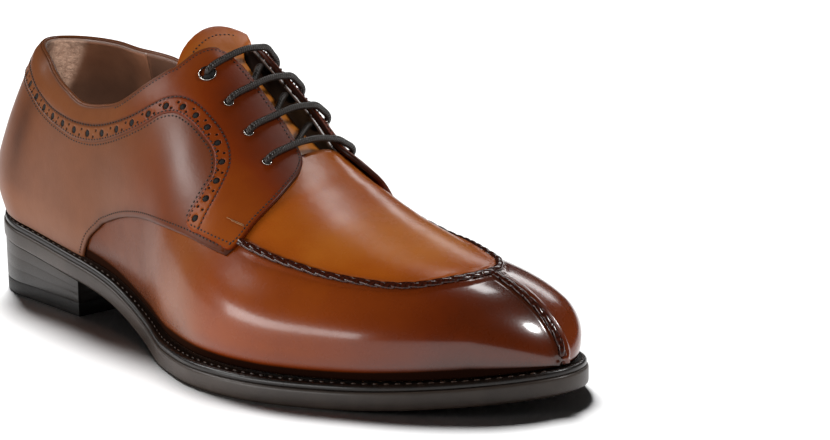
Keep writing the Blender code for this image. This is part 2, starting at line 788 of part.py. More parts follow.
def bend(side, row, toward, top):
    """Quarter turn from the eyelet's own direction into the run over or under the facing."""
    centre, out = eyelet_spots[side, row]
    way = toward - centre
    way -= out * way.dot(out)
    way /= np.linalg.norm(way)
    level = BEND_OVER if top else UNDER
    sign = 1 if top else -1
    start = level - sign * LACE_BEND
    turned = []
    for angle in np.radians([0, 45, 90]):
        aside = LACE_BEND * (1 - math.cos(angle))
        turned.append(centre + way * aside + out * (start + sign * LACE_BEND * math.sin(angle)))
    return turned


def lace_run(start, end, top):
    spots = between(eyelet_of(*start), eyelet_of(*end), 13 if top else 9)[2:-2]
    level = OVER if top else UNDER
    run = [on_upper(x, side, turn, level) for x, side, turn in spots]
    if top:
        run = [run[0], run[1]] + [run[1] + (run[-2] - run[1]) * t + (0, 0, 1.2 * math.sin(math.pi * t))
                                  for t in (0.25, 0.5, 0.75)] + [run[-2], run[-1]]
    first = bend(*start, run[0], top)
    last = bend(*end, run[-1], top)
    return first + run + last[::-1]


path = []
for row in range(4):
    path += lace_run((LATERAL, row), (MEDIAL, row), True)
    if row < 3:
        path += lace_run((MEDIAL, row), (LATERAL, row + 1), False)
cord = bpy.data.curves.new("lace", "CURVE")
cord.dimensions = "3D"
cord.bevel_depth = LACE_RADIUS / 1000
cord.bevel_resolution = 2
cord.use_fill_caps = True
line = cord.splines.new("POLY")
line.points.add(len(path) - 1)
for knot, place in zip(line.points, to_scene(path)):
    knot.co = (*place, 1)
lace = bpy.data.objects.new("lace", cord)
bpy.context.scene.collection.objects.link(lace)
cord.materials.append(lace_look)
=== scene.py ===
"""Right brogue derby in polished calf: apron front, split toe, punched border, welted sole.

Sizes are in millimetres and the scene in metres. Stations run along the shoe from the back of the outsole.
Lateral is -Y, medial is +Y. On the upper a turn of 0 is the top ridge, 1 the widest line, 2 the feather edge.
"""

import math

import bmesh
import bpy
import numpy as np
from mathutils import Matrix
from mathutils.geometry import delaunay_2d_cdt


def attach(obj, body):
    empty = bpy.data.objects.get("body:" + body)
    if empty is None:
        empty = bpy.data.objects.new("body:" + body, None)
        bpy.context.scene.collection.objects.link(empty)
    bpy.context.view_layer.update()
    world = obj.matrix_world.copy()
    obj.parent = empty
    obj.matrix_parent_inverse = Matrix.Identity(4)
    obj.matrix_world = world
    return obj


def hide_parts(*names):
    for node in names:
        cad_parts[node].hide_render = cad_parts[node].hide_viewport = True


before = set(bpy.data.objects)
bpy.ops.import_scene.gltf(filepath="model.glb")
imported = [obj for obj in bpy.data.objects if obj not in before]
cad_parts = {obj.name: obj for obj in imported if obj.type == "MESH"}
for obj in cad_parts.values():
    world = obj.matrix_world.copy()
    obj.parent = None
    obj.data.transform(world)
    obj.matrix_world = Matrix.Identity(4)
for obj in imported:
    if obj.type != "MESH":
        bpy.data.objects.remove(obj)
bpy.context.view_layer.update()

# Sole sizes
SOLE_LENGTH = 305.0
HEEL_ROUND = 34.0
TOE_ROUND = 62.0
TOE_POWER = 2.2
TOE_SWING = 16.0
SWING_START = 200.0
HEEL_BREAST = 78.0
SEAT_AT_BREAST = 15.2
SEAT_AT_BACK = 25.6
TREAD_START = 159.0
TREAD_END = 232.0
TOE_SPRING = 5.5
OUTSOLE_THICK = 7.0
TOP_PIECE_THICK = 6.0
HEEL_INSET = 0.6
WELT_THICK = 2.6
WELT_INSET = 0.8
WELT_LEDGE = 4.0
WHEEL_PITCH = 2.6
SOLE_STITCH = 4.0
INSOLE_THICK = 2.7
GAP = 0.3

# Upper sizes
WALL = 1.6
QUARTER_HIGH = 1.4
COLLAR_HIGH = 1.9
TOE_DROP = 40.0
TOE_DROP_POWER = 2.3
LEAN_REACH = 95.0
THROAT_FRONT = 186.0
TONGUE_THICK = 1.8
TONGUE_DEPTH = 4.9
GAPE = 3.2
GAPE_WAY = np.array([0.0, 0.2, 0.98])
WIDE_AT_MOST = 0.45
UNDERCUT_POWER = 2.4

# Lacing and seam sizes
LACE_RADIUS = 1.35
LACE_BEND = 1.9
ROPE_WIDTH = 2.8
ROPE_RISE = 2.0
ROPE_PITCH = 11.4

# Punched border sizes
UNDERLAP = 2.6
PUNCH_PITCH = 9.05
FIRST_PUNCH = 4.0
PAIR_SHARES = (0.33, 0.69)
LARGE_HOLE = 1.45
SMALL_HOLE = 0.55
HOLE_SIDES = 14
EDGE_ROUND = 0.7
EDGE_DEPTHS = (0.08, 0.26, EDGE_ROUND, 1.4 * EDGE_ROUND)
# Rows of a triangle grid lie this share of its spacing apart
ROW_SHARE = 0.866

LATERAL, MEDIAL = -1, 1
NAMES = {LATERAL: "lateral", MEDIAL: "medial"}
# Laid out flat, the upper is this long from its ridge to its widest line, and from there to its feather edge
SIDE_MM = 80.0
UNDER_MM = 20.0


def table(names, rows):
    return dict(zip(names.split(), np.array(rows, float).T))


SOLE = table("station lateral medial", [
    (0, 31.0, 32.0),
    (40, 31.6, 33.0),
    (75, 34.0, 31.0),
    (105, 36.0, 26.5),
    (135, 44.0, 27.5),
    (160, 55.0, 33.0),
    (185, 62.0, 41.0),
    (215, 60.5, 47.5),
    (250, 48.5, 46.5),
    (280, 38.5, 42.5),
    (305, 32.0, 38.0),
])

FEATHER = table("station inset", [
    (0, 2.5),
    (60, 3.0),
    (110, 4.5),
    (170, 6.0),
    (240, 5.5),
    (305, 3.5),
])

LAST_COLUMNS = "station ridge ridge_offset wide_height lateral_bulge medial_bulge lateral_power medial_power"
LAST = table(LAST_COLUMNS, [
    (0, 114.0, 0.0, 18, 2.5, 2.5, 1.75, 1.75),
    (35, 121.0, 0.0, 18, 2.5, 2.5, 1.75, 1.75),
    (75, 136.0, 1.5, 19, 4.0, 3.5, 1.90, 1.90),
    (105, 132.0, 3.0, 20, 5.0, 4.5, 2.00, 2.00),
    (130, 119.0, 4.0, 20, 5.0, 5.5, 2.00, 2.00),
    (150, 105.0, 4.5, 19, 4.0, 5.5, 2.00, 2.00),
    (170, 90.0, 5.0, 16, 2.5, 4.0, 2.00, 1.95),
    (190, 76.0, 5.0, 13, 1.5, 2.5, 2.00, 1.90),
    (215, 62.5, 4.0, 12, 1.5, 1.5, 2.05, 1.88),
    (240, 53.5, 2.5, 12, 1.5, 1.5, 2.10, 1.90),
    (270, 46.0, 0.5, 12, 2.0, 2.5, 2.10, 2.00),
    (305, 40.5, 0.0, 11, 2.5, 4.5, 2.10, 2.10),
])

HEEL_LEAN = table("station lean", [
    (20, 0.5),
    (36, 0.0),
    (46, -2.2),
    (54, -1.5),
    (68, 3.5),
    (86, 10.5),
    (105, 17.5),
    (125, 25.0),
])

TOPLINE = table("station lateral medial", [
    (2.5, 0.335, 0.335),
    (15, 0.380, 0.370),
    (30, 0.441, 0.420),
    (46, 0.540, 0.495),
    (64, 0.625, 0.565),
    (84, 0.673, 0.610),
    (96, 0.657, 0.605),
    (108, 0.609, 0.565),
    (120, 0.492, 0.475),
    (128, 0.378, 0.375),
    (131.6, 0.308, 0.307),
    (133.4, 0.218, 0.272),
    (135.4, 0.148, 0.238),
    (139, 0.098, 0.195),
    (144, 0.078, 0.168),
    (158, 0.068, 0.165),
    (171, 0.076, 0.168),
    (186, 0.098, 0.175),
    (305, 0.098, 0.175),
])

# From the foot of the facing round the tab, then along the punched border to the back of the collar
COLLAR_EDGE = table("station turn", [
    (185.0, 0.106),
    (188.5, 0.122),
    (192.1, 0.164),
    (195.2, 0.248),
    (197.2, 0.349),
    (197.6, 0.473),
    (197.2, 0.585),
    (195.8, 0.628),
    (187.6, 0.650),
    (179.9, 0.672),
    (174.2, 0.690),
    (171.3, 0.682),
    (171.0, 0.655),
    (171.4, 0.609),
    (171.8, 0.541),
    (171.4, 0.465),
    (167.5, 0.422),
    (157.8, 0.413),
    (149.2, 0.429),
    (141.8, 0.461),
    (136.3, 0.505),
    (127.7, 0.593),
    (116.4, 0.677),
    (104.7, 0.737),
    (93.8, 0.770),
    (82.8, 0.778),
    (66.4, 0.754),
    (45.0, 0.681),
    (29.0, 0.601),
    (12.0, 0.535),
    (2.51, 0.500),
])
TAB_ROWS = 8
BORDER_ROW = 11

# Upper edge of the punched band, from the tab to the back of the collar
BAND_EDGE = table("station turn", [
    (178.7, 0.672),
    (178.5, 0.589),
    (178.1, 0.521),
    (176.9, 0.453),
    (174.6, 0.393),
    (170.6, 0.357),
    (163.6, 0.337),
    (156.2, 0.341),
    (147.6, 0.361),
    (141.0, 0.397),
    (135.5, 0.445),
    (129.3, 0.513),
    (119.9, 0.601),
    (108.2, 0.673),
    (95.7, 0.717),
    (81.7, 0.729),
    (64.1, 0.705),
    (39.5, 0.609),
    (24.3, 0.525),
    (12.0, 0.470),
    (2.51, 0.438),
])

# Folded lower edge of the quarter, from the front of the tab back to the welt
QUARTER_EDGE = table("station turn", [
    (194.6, 0.664),
    (186.5, 0.684),
    (177.6, 0.708),
    (163.0, 0.757),
    (144.2, 0.822),
    (130.6, 0.868),
    (115.7, 0.924),
    (106.5, 0.962),
    (99.9, 0.992),
    (94.9, 1.165),
    (90.6, 1.365),
    (87.0, 1.587),
    (82.7, 1.862),
    (81.2, 1.960),
])
# Hidden front end of the quarter under the tab
TAB_STRIP = np.array([(176.0, 0.655), (186.0, 0.622), (195.4, 0.590), (196.4, 0.622)])
FEATHER_TURN = 1.96

APRON_LINE = table("station turn", [
    (196.6, 0.580),
    (203.0, 0.570),
    (209.7, 0.561),
    (222.6, 0.541),
    (234.3, 0.530),
    (245.6, 0.503),
    (256.5, 0.461),
    (263.0, 0.400),
    (269.0, 0.257),
    (271.6, 0.120),
    (272.4, 0.000),
])

APRON_TIP = APRON_LINE["station"][-1]
# Where the lining of the heel meets that of the sides
LINING_JOINT = 48.5

EYELETS = table("station lateral medial", [
    (143.3, 0.244, 0.318),
    (157.0, 0.238, 0.315),
    (170.3, 0.244, 0.320),
    (183.1, 0.258, 0.332),
])

TONGUE_RISE = table("station lift", [
    (118, -0.8),
    (126, -1.8),
    (134, -4.0),
    (146, -TONGUE_DEPTH),
    (181, -TONGUE_DEPTH),
    (188, -3.9),
    (195, -WALL - 0.7),
    (210, -WALL - 0.7),
])

TONGUE_EDGE = table("station turn", [
    (125.4, 0.000),
    (125.8, 0.150),
    (127.0, 0.270),
    (131.0, 0.370),
    (138.0, 0.415),
    (155.0, 0.420),
    (175.0, 0.400),
    (192.0, 0.360),
    (200.0, 0.320),
    (203.0, 0.200),
    (203.6, 0.000),
])

FEATHER_RISE = OUTSOLE_THICK + WELT_THICK + 2 * GAP
HEEL_END = FEATHER["inset"][0]
TOE_END = SOLE_LENGTH - FEATHER["inset"][-1]
SEAM_X = HEEL_END + 0.004


# Lines and distances
def smooth(rows, column, at):
    """Cubic through one column of a table, with slopes taken from the neighbouring rows."""
    stations = rows["station"]
    values = rows[column]
    slopes = np.gradient(values, stations)
    at = np.clip(at, stations[0], stations[-1])
    i = np.clip(np.searchsorted(stations, at) - 1, 0, len(stations) - 2)
    h = stations[i + 1] - stations[i]
    t = (at - stations[i]) / h
    start = values[i] * (2 * t**3 - 3 * t**2 + 1) + slopes[i] * h * (t**3 - 2 * t**2 + t)
    return start + values[i + 1] * (3 * t**2 - 2 * t**3) + slopes[i + 1] * h * (t**3 - t**2)


def ease(t):
    """Soft step from 0 to 1."""
    t = np.clip(t, 0, 1)
    return t * t * (3 - 2 * t)


def hump(value, centre, width):
    """1 at the centre, falling softly to 0 on both sides of it."""
    return np.exp(-(((value - centre) / width) ** 2))


def unit(vectors):
    return vectors / np.maximum(np.linalg.norm(vectors, axis=-1, keepdims=True), 1e-9)


def run_of(line):
    """Distance along a line at each of its points."""
    return np.concatenate([[0], np.cumsum(np.linalg.norm(np.diff(line, axis=0), axis=1))])


def at_distances(values, run, at):
    """Values known at the distances of a run, read off at other distances."""
    return np.stack([np.interp(at, run, column) for column in values.T], -1)


def evenly(line, spacing):
    """The line with its points about evenly spaced."""
    run = run_of(line)
    return at_distances(line, run, np.linspace(0, run[-1], max(2, int(round(run[-1] / spacing)) + 1)))


def smooth_line(knots, count):
    """A smooth line through knots, as count points."""
    run = run_of(knots)
    columns = {"station": run, **dict(enumerate(knots.T))}
    along = np.linspace(0, run[-1], count)
    return np.stack([smooth(columns, i, along) for i in range(knots.shape[1])], 1)


def flatten(spots):
    """Stations and turns laid out flat, close to the true distances on the upper."""
    x, turn = spots[..., 0], spots[..., 1]
    round_end = HEEL_ROUND - HEEL_END
    angle = np.arccos(np.clip(1 - (x - HEEL_END) / round_end, 0, 1))
    flat_x = np.where(x < HEEL_ROUND, HEEL_ROUND + round_end * (angle - math.pi / 2), x)
    return np.stack([flat_x, SIDE_MM * np.minimum(turn, 1) + UNDER_MM * np.maximum(turn - 1, 0)], -1)


def unflatten(flat):
    x, y = flat[..., 0], flat[..., 1]
    round_end = HEEL_ROUND - HEEL_END
    angle = (np.minimum(x, HEEL_ROUND) - HEEL_ROUND) / round_end + math.pi / 2
    station = np.where(x < HEEL_ROUND, HEEL_END + round_end * (1 - np.cos(np.maximum(angle, 0))), x)
    return np.stack([station, np.minimum(y / SIDE_MM, 1) + np.maximum(y - SIDE_MM, 0) / UNDER_MM], -1)


def rounded_path(rows, spacing, start=0, end=None):
    """Points along a smooth line through the rows of a station and turn table, about evenly spaced."""
    knots = flatten(np.stack([rows["station"], rows["turn"]], 1)[start:end])
    return unflatten(smooth_line(knots, max(2, int(round(run_of(knots)[-1] / spacing))) + 1))


def shifted(line, distance):
    """The line moved sideways, to the right of its own direction."""
    flat = flatten(line)
    ahead = unit(np.gradient(flat, axis=0))
    return unflatten(flat + distance * np.stack([ahead[:, 1], -ahead[:, 0]], 1))


def distance_to(flat, line, closed=False):
    """Least distance from each flat point to a flat line, worked out in batches to save memory."""
    ends = np.roll(line, -1, axis=0) if closed else line[1:]
    starts = line if closed else line[:-1]
    step = ends - starts
    size = np.maximum((step**2).sum(1), 1e-9)
    least = np.empty(len(flat))
    batch = 2000
    for k in range(0, len(flat), batch):
        gap = flat[k:k + batch, None, :] - starts[None]
        t = np.clip((gap * step).sum(2) / size, 0, 1)
        least[k:k + batch] = np.linalg.norm(gap - step * t[..., None], axis=2).min(1)
    return least


def inside_of(flat, line):
    """Which flat points lie inside a closed flat line."""
    ends = np.roll(line, -1, axis=0)
    rise = ends[:, 1] - line[:, 1]
    rise = np.where(rise == 0, 1e-9, rise)
    crossed = (line[None, :, 1] > flat[:, None, 1]) != (ends[None, :, 1] > flat[:, None, 1])
    reach = line[:, 0] + (ends[:, 0] - line[:, 0]) * (flat[:, None, 1] - line[:, 1]) / rise
    return (crossed & (reach > flat[:, None, 0])).sum(1) % 2 == 1


# The sole's outline and the last: every curved piece is laid out on them
def sole_bottom(x):
    fall = (SEAT_AT_BREAST - SEAT_AT_BACK) / HEEL_BREAST
    run = TREAD_START - HEEL_BREAST
    t = np.clip((x - HEEL_BREAST) / run, 0, 1)
    waist = SEAT_AT_BREAST * (2 * t**3 - 3 * t**2 + 1) + fall * run * (t**3 - 2 * t**2 + t)
    spring = TOE_SPRING * np.clip((x - TREAD_END) / (SOLE_LENGTH - TREAD_END), 0, None) ** 2
    return np.where(x < HEEL_BREAST, SEAT_AT_BREAST + fall * (x - HEEL_BREAST), waist) + spring


def axis_y(x):
    return TOE_SWING * np.clip((x - SWING_START) / (SOLE_LENGTH - SWING_START), 0, None) ** 2


def end_round(x, heel_inset, toe_inset):
    heel = np.clip(1 - (x - heel_inset) / (HEEL_ROUND - heel_inset), 0, 1)
    toe = np.clip(1 - (SOLE_LENGTH - toe_inset - x) / (TOE_ROUND - toe_inset), 0, 1)
    return np.sqrt(np.clip(1 - heel**2, 0, 1)) * np.sqrt(np.clip(1 - toe**TOE_POWER, 0, 1))


def half_width(x, side, inset, heel_inset, toe_inset):
    return (smooth(SOLE, NAMES[side], x) - inset) * end_round(x, heel_inset, toe_inset)


def throat_gape(x, side, turn):
    """How far the medial facing stands open, up and out from the tongue."""
    open_here = ease((x - 127) / 14) * ease((THROAT_FRONT - x) / 18) * ease((0.60 - turn) / 0.42)
    return (GAPE if side == MEDIAL else 0.0) * open_here[..., None] * GAPE_WAY


def last_point(x, side, turn):
    """Outer face of the vamp at a station, side and turn."""
    x, turn = np.broadcast_arrays(np.asarray(x, float), np.asarray(turn, float))
    cap = end_round(x, HEEL_END, SOLE_LENGTH - TOE_END)
    drop = np.clip(1 - (TOE_END - x) / TOE_DROP, 0, 1)
    tall = np.sqrt(np.clip(1 - drop**TOE_DROP_POWER, 0, 1))
    foot = sole_bottom(x) + FEATHER_RISE
    ridge = foot + (smooth(LAST, "ridge", x) - foot) * tall
    wide = foot + np.minimum(smooth(LAST, "wide_height", x), WIDE_AT_MOST * (ridge - foot))
    axis = axis_y(x)
    ridge_y = axis + smooth(LAST, "ridge_offset", x) * cap
    inset = smooth(FEATHER, "inset", x)
    foot_y = axis + side * half_width(x, side, inset, HEEL_END, SOLE_LENGTH - TOE_END)
    wide_y = foot_y + side * smooth(LAST, NAMES[side] + "_bulge", x) * cap
    power = 2 / smooth(LAST, NAMES[side] + "_power", x)
    angle = np.clip(turn, 0, 1) * math.pi / 2
    under = np.clip(turn - 1, 0, 1)
    y_top = ridge_y + (wide_y - ridge_y) * np.sin(angle) ** power
    z_top = wide + (ridge - wide) * np.clip(np.cos(angle), 0, 1) ** power
    y = np.where(turn <= 1, y_top, wide_y + (foot_y - wide_y) * under**UNDERCUT_POWER)
    z = np.where(turn <= 1, z_top, wide - (wide - foot) * under)
    near_heel = np.clip(1 - (x - HEEL_END) / LEAN_REACH, 0, 1)
    lean = smooth(HEEL_LEAN, "lean", z) * ease(near_heel)
    return np.stack([x + lean, y, z], -1) + throat_gape(x, side, turn)


def last_normal(x, side, turn):
    """Unit vector out of the upper, from small steps along it and down it."""
    x, turn = np.broadcast_arrays(np.asarray(x, float), np.asarray(turn, float))
    station_step, turn_step, end_gap = 0.05, 0.004, 0.002
    behind, ahead = np.clip(x - station_step, HEEL_END, TOE_END), np.clip(x + station_step, HEEL_END, TOE_END)
    above, below = np.clip(turn - turn_step, 0, 2), np.clip(turn + turn_step, 0, 2)
    inner = np.clip(x, HEEL_END + end_gap, TOE_END - end_gap)
    along = last_point(ahead, side, turn) - last_point(behind, side, turn)
    down = last_point(inner, side, below) - last_point(inner, side, above)
    out = np.cross(along, down) * side
    out[..., 1] *= np.where(turn == 0, 0.0, 1.0)
    out = np.where((x <= HEEL_END)[..., None], out * (1, 0, 1), out)
    out = np.where((x >= TOE_END)[..., None], (1.0, 0.0, 0.0), out)
    return unit(out)


def on_upper(x, side, turn, lift):
    """Place on the upper, lifted off the vamp's outer face."""
    return last_point(x, side, turn) + last_normal(x, side, turn) * np.asarray(lift)[..., None]


def both_sides(x, side_of, turn, lift):
    """Places on the upper where each point has its own side."""
    points = np.empty((len(x), 3))
    for side in NAMES:
        mine = side_of == side
        points[mine] = on_upper(x[mine], side, turn[mine], (lift + 0 * x)[mine])
    return points


def from_heel_to_toe(start, end, count):
    """Stations that lie closer together at both ends."""
    return start + (end - start) * (1 - np.cos(np.linspace(0, math.pi, count))) / 2


edge = np.linspace(0, SOLE_LENGTH, 600)
back = on_upper(HEEL_END, MEDIAL, np.linspace(0.5, 1.9, 80), QUARTER_HIGH)
MIDDLE_X = (SOLE_LENGTH + back[:, 0].min()) / 2
MIDDLE_Y = (
    (axis_y(edge) - half_width(edge, LATERAL, 0, 0, 0)).min()
    + (axis_y(edge) + half_width(edge, MEDIAL, 0, 0, 0)).max()
) / 2


def to_scene(points):
    return (np.asarray(points, float) - (MIDDLE_X, MIDDLE_Y, 0)) / 1000


# Mesh helpers
def linked(name, data):
    made = bpy.data.objects.new(name, data)
    bpy.context.scene.collection.objects.link(made)
    return made


def mesh_of(name, points, faces, looks=()):
    """A mesh in the scene's own place, from points in millimetres."""
    data = bpy.data.meshes.new(name)
    data.from_pydata([tuple(p) for p in to_scene(points)], [], [tuple(int(i) for i in f) for f in faces])
    for look in looks:
        data.materials.append(look)
    return data


def mark(data, key, values):
    """A value for each point, for the material to read."""
    data.attributes.new(key, "FLOAT", "POINT").data.foreach_set("value", np.asarray(values, np.float32))


def turn_outward(data, merge=False):
    """Points the faces out, and smooths them. Doubles are merged first where asked."""
    mesh = bmesh.new()
    mesh.from_mesh(data)
    if merge:
        bmesh.ops.remove_doubles(mesh, verts=mesh.verts, dist=1e-6)
        bmesh.ops.dissolve_degenerate(mesh, edges=mesh.edges, dist=1e-7)
    bmesh.ops.recalc_face_normals(mesh, faces=mesh.faces)
    mesh.to_mesh(data)
    mesh.free()
    data.shade_smooth()


def piece(name, points, faces, looks, which=None, attributes=None):
    """One finished piece. which gives each face its look by number, attributes a value for each point."""
    data = mesh_of(name, points, faces, looks)
    if which is not None:
        data.polygons.foreach_set("material_index", np.asarray(which, np.int32))
    for key, values in (attributes or {}).items():
        mark(data, key, values)
    turn_outward(data, merge=True)
    return linked(name, data)


def finished(made, slot, *nodes):
    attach(made, "root")
    if nodes:
        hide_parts(*nodes)


def sharpen(made, degrees):
    made.data.set_sharp_from_angle(angle=math.radians(degrees))


def hoops(count, sides, closed=False):
    """Quads between rings of points, one after another. A closed stack joins its last ring to its first."""
    quads = []
    for ring in range(count if closed else count - 1):
        after = (ring + 1) % count
        for i in range(sides):
            j = (i + 1) % sides
            quads.append((ring * sides + i, ring * sides + j, after * sides + j, after * sides + i))
    return quads


def two_faced(faces, count):
    """Faces of a sheet and of its back, whose points follow count later, with walls along the open edges."""
    open_edges = {}
    for face in faces:
        for a, b in zip(face, face[1:] + face[:1]):
            if (b, a) in open_edges:
                del open_edges[(b, a)]
            else:
                open_edges[(a, b)] = True
    backs = [[i + count for i in face[::-1]] for face in faces]
    return faces + backs + [(b, a, a + count, b + count) for a, b in open_edges]


# Materials
def colour(code):
    """sRGB hex to the linear colour that a shader takes."""
    parts = [int(code[i:i + 2], 16) / 255 for i in (1, 3, 5)]
    return tuple(c / 12.92 if c <= 0.04045 else ((c + 0.055) / 1.055) ** 2.4 for c in parts) + (1.0,)


def feed(node, inputs):
    """Sets or links a node's inputs."""
    for key, value in inputs.items():
        if isinstance(value, bpy.types.NodeSocket):
            node.id_data.links.new(value, node.inputs[key])
        else:
            node.inputs[key].default_value = value


def add(tree, kind, inputs=None, **settings):
    """A node with its settings, and its inputs set or linked."""
    node = tree.nodes.new(kind)
    for key, value in settings.items():
        setattr(node, key, value)
    feed(node, inputs or {})
    return node


def per_metre(millimetres):
    """Scale of a pattern whose features are this wide."""
    return 1000.0 / millimetres


def begin(name):
    """A new material, its tree, its shader and the place of each spot on the piece."""
    made = bpy.data.materials.new(name)
    made.use_nodes = True
    tree = made.node_tree
    return made, tree, tree.nodes["Principled BSDF"], add(tree, "ShaderNodeTexCoord").outputs["Object"]


def ramp_of(tree, value, stops):
    """A colour ramp of (place, hex) stops."""
    node = add(tree, "ShaderNodeValToRGB", {"Fac": value})
    ramp = node.color_ramp
    while len(ramp.elements) < len(stops):
        ramp.elements.new(0.5)
    for element, (place, code) in zip(ramp.elements, stops):
        element.position = place
        element.color = colour(code)
    return node.outputs["Color"]


def polished_calf(name, stops, roughness, coat, haze, shine=0.5, grain=0.06, cooler=None):
    """Aniline calf, burnished by hand and waxed: tone runs from tan to nearly black, under a clear gloss.

    The piece's own attributes say how dark each spot is (tone: burnish, with painted shade and a painted
    reflection in places) and how far it is polished (wax, which is below 0 where it is rubbed dull). A piece
    dyed two ways turns from the cooler stops to the others by its warm one.
    """
    made, tree, shader, place = begin(name)
    tone = add(tree, "ShaderNodeAttribute", attribute_name="tone").outputs["Fac"]
    wax = add(tree, "ShaderNodeAttribute", attribute_name="wax").outputs["Fac"]
    # Dye clouds 26 mm wide, and the finer streaks of 7 mm that a polishing rag leaves
    cloud = add(tree, "ShaderNodeTexNoise", {
        "Vector": place, "Scale": per_metre(26), "Detail": 3.0, "Roughness": 0.55}).outputs["Fac"]
    rag = add(tree, "ShaderNodeTexNoise", {
        "Vector": place, "Scale": per_metre(7), "Detail": 4.0, "Roughness": 0.6}).outputs["Fac"]
    cloudy = add(tree, "ShaderNodeMath", {0: cloud, 1: 0.18, 2: tone}, operation="MULTIPLY_ADD").outputs[0]
    mottled = add(tree, "ShaderNodeMath", {0: rag, 1: 0.08, 2: cloudy}, operation="MULTIPLY_ADD").outputs[0]
    # Half of both patterns is taken off again, so that they leave the tone where it was
    centred = add(tree, "ShaderNodeMath", {0: mottled, 1: 0.13}, operation="SUBTRACT").outputs[0]
    dyed = ramp_of(tree, centred, stops)
    if cooler:
        warm = add(tree, "ShaderNodeAttribute", attribute_name="warm").outputs["Fac"]
        cool = ramp_of(tree, centred, cooler)
        dyed = add(tree, "ShaderNodeMix", {0: warm, 6: cool, 7: dyed}, data_type="RGBA").outputs[2]
    # Calf pores are 0.2 mm, too fine to show: drawn 0.9 mm wide, with 4 mm creping under them
    pores = add(tree, "ShaderNodeTexVoronoi", {"Vector": place, "Scale": per_metre(0.9)}, feature="SMOOTH_F1")
    crepe = add(tree, "ShaderNodeTexNoise", {"Vector": place, "Scale": per_metre(4), "Detail": 3.0})
    height = add(tree, "ShaderNodeMath", {
        0: crepe.outputs["Fac"], 1: 2.0, 2: pores.outputs["Distance"]}, operation="MULTIPLY_ADD").outputs[0]
    bump = add(tree, "ShaderNodeBump", {"Height": height, "Strength": grain, "Distance": 0.0004})
    dull = add(tree, "ShaderNodeMapRange", {
        "Value": rag, "From Min": 0.3, "From Max": 0.7,
        "To Min": roughness - 0.02, "To Max": roughness + 0.02})
    thick = add(tree, "ShaderNodeMapRange", {"Value": wax, "From Min": -coat, "To Max": 1.0})
    blur = add(tree, "ShaderNodeMapRange", {"Value": wax, "To Min": haze, "To Max": 0.13})
    sheen = add(tree, "ShaderNodeMapRange", {
        "Value": wax, "From Min": -1.0, "From Max": 0.0, "To Min": 0.0, "To Max": shine})
    feed(shader, {
        "Base Color": dyed,
        "Normal": bump.outputs["Normal"],
        "Roughness": dull.outputs["Result"],
        "Specular IOR Level": sheen.outputs["Result"],
        "Coat Weight": thick.outputs["Result"],
        "Coat Roughness": blur.outputs["Result"],
        "Coat IOR": 1.5,
    })
    return made


def plain_leather(name, light, deep, roughness, clouds_mm, grain_mm, strength, coat=0.0, shine=0.5, ground_shade_mm=0):
    """A matt material with soft clouds and a fine grain: plain leather, rubber or thread.

    Painted shade, where there is any, darkens it from this height down to the ground.
    """
    made, tree, shader, place = begin(name)
    cloud = add(tree, "ShaderNodeTexNoise", {
        "Vector": place, "Scale": per_metre(clouds_mm), "Detail": 5.0, "Roughness": 0.6})
    grain = add(tree, "ShaderNodeTexNoise", {
        "Vector": place, "Scale": per_metre(grain_mm), "Detail": 4.0, "Roughness": 0.7}).outputs["Fac"]
    dyed = ramp_of(tree, cloud.outputs["Fac"], [(0.32, deep), (0.68, light)])
    # Painted shade: near black at the ground, fading out at the given height
    if ground_shade_mm:
        height = add(tree, "ShaderNodeSeparateXYZ", {"Vector": place}).outputs["Z"]
        ground_shade = add(tree, "ShaderNodeMapRange", {
            "Value": height, "From Min": 0.004, "From Max": ground_shade_mm / 1000, "To Min": 1.0, "To Max": 0.0})
        dyed = add(tree, "ShaderNodeMix", {
            0: ground_shade.outputs["Result"], 6: dyed, 7: colour("#14100E")}, data_type="RGBA").outputs[2]
    bump = add(tree, "ShaderNodeBump", {"Height": grain, "Strength": strength, "Distance": 0.0004})
    dull = add(tree, "ShaderNodeMapRange", {
        "Value": grain, "From Min": 0.3, "From Max": 0.7,
        "To Min": roughness - 0.06, "To Max": roughness + 0.06})
    feed(shader, {
        "Base Color": dyed,
        "Normal": bump.outputs["Normal"],
        "Roughness": dull.outputs["Result"],
        "Specular IOR Level": shine,
        "Coat Weight": coat,
        "Coat Roughness": 0.25,
    })
    return made


def shoe_lining(name):
    """Brown lining calf, with tan heel suede where its suede attribute is 1, darkened by its deep one:
    painted shade down in the shoe and in the throat, and a darker joint, top edge and front.
    """
    made, tree, shader, place = begin(name)
    brushed = add(tree, "ShaderNodeAttribute", attribute_name="suede").outputs["Fac"]
    deep = add(tree, "ShaderNodeAttribute", attribute_name="deep").outputs["Fac"]
    # Dye clouds 16 mm wide on the calf, and tufts of nap 2.5 mm wide on the suede
    cloud = add(tree, "ShaderNodeTexNoise", {"Vector": place, "Scale": per_metre(16), "Detail": 4.0})
    nap = add(tree, "ShaderNodeTexNoise", {
        "Vector": place, "Scale": per_metre(2.5), "Detail": 6.0, "Roughness": 0.7}).outputs["Fac"]
    calf = ramp_of(tree, cloud.outputs["Fac"], [(0.3, "#5A3623"), (0.7, "#7A5039")])
    suede = ramp_of(tree, nap, [(0.32, "#7E5F4D"), (0.68, "#B08E78")])
    both = add(tree, "ShaderNodeMix", {0: brushed, 6: calf, 7: suede}, data_type="RGBA").outputs[2]
    # Painted shade: the deep attribute mixes the lining toward a near-black brown
    shaded = add(tree, "ShaderNodeMix", {0: deep, 6: both, 7: colour("#20130C")}, data_type="RGBA")
    dull = add(tree, "ShaderNodeMapRange", {"Value": brushed, "To Min": 0.5, "To Max": 0.95})
    ruffled = add(tree, "ShaderNodeMapRange", {"Value": brushed, "To Min": 0.08, "To Max": 0.6})
    bump = add(tree, "ShaderNodeBump", {
        "Height": nap, "Strength": ruffled.outputs["Result"], "Distance": 0.0006})
    feed(shader, {
        "Base Color": shaded.outputs[2],
        "Normal": bump.outputs["Normal"],
        "Roughness": dull.outputs["Result"],
    })
    return made


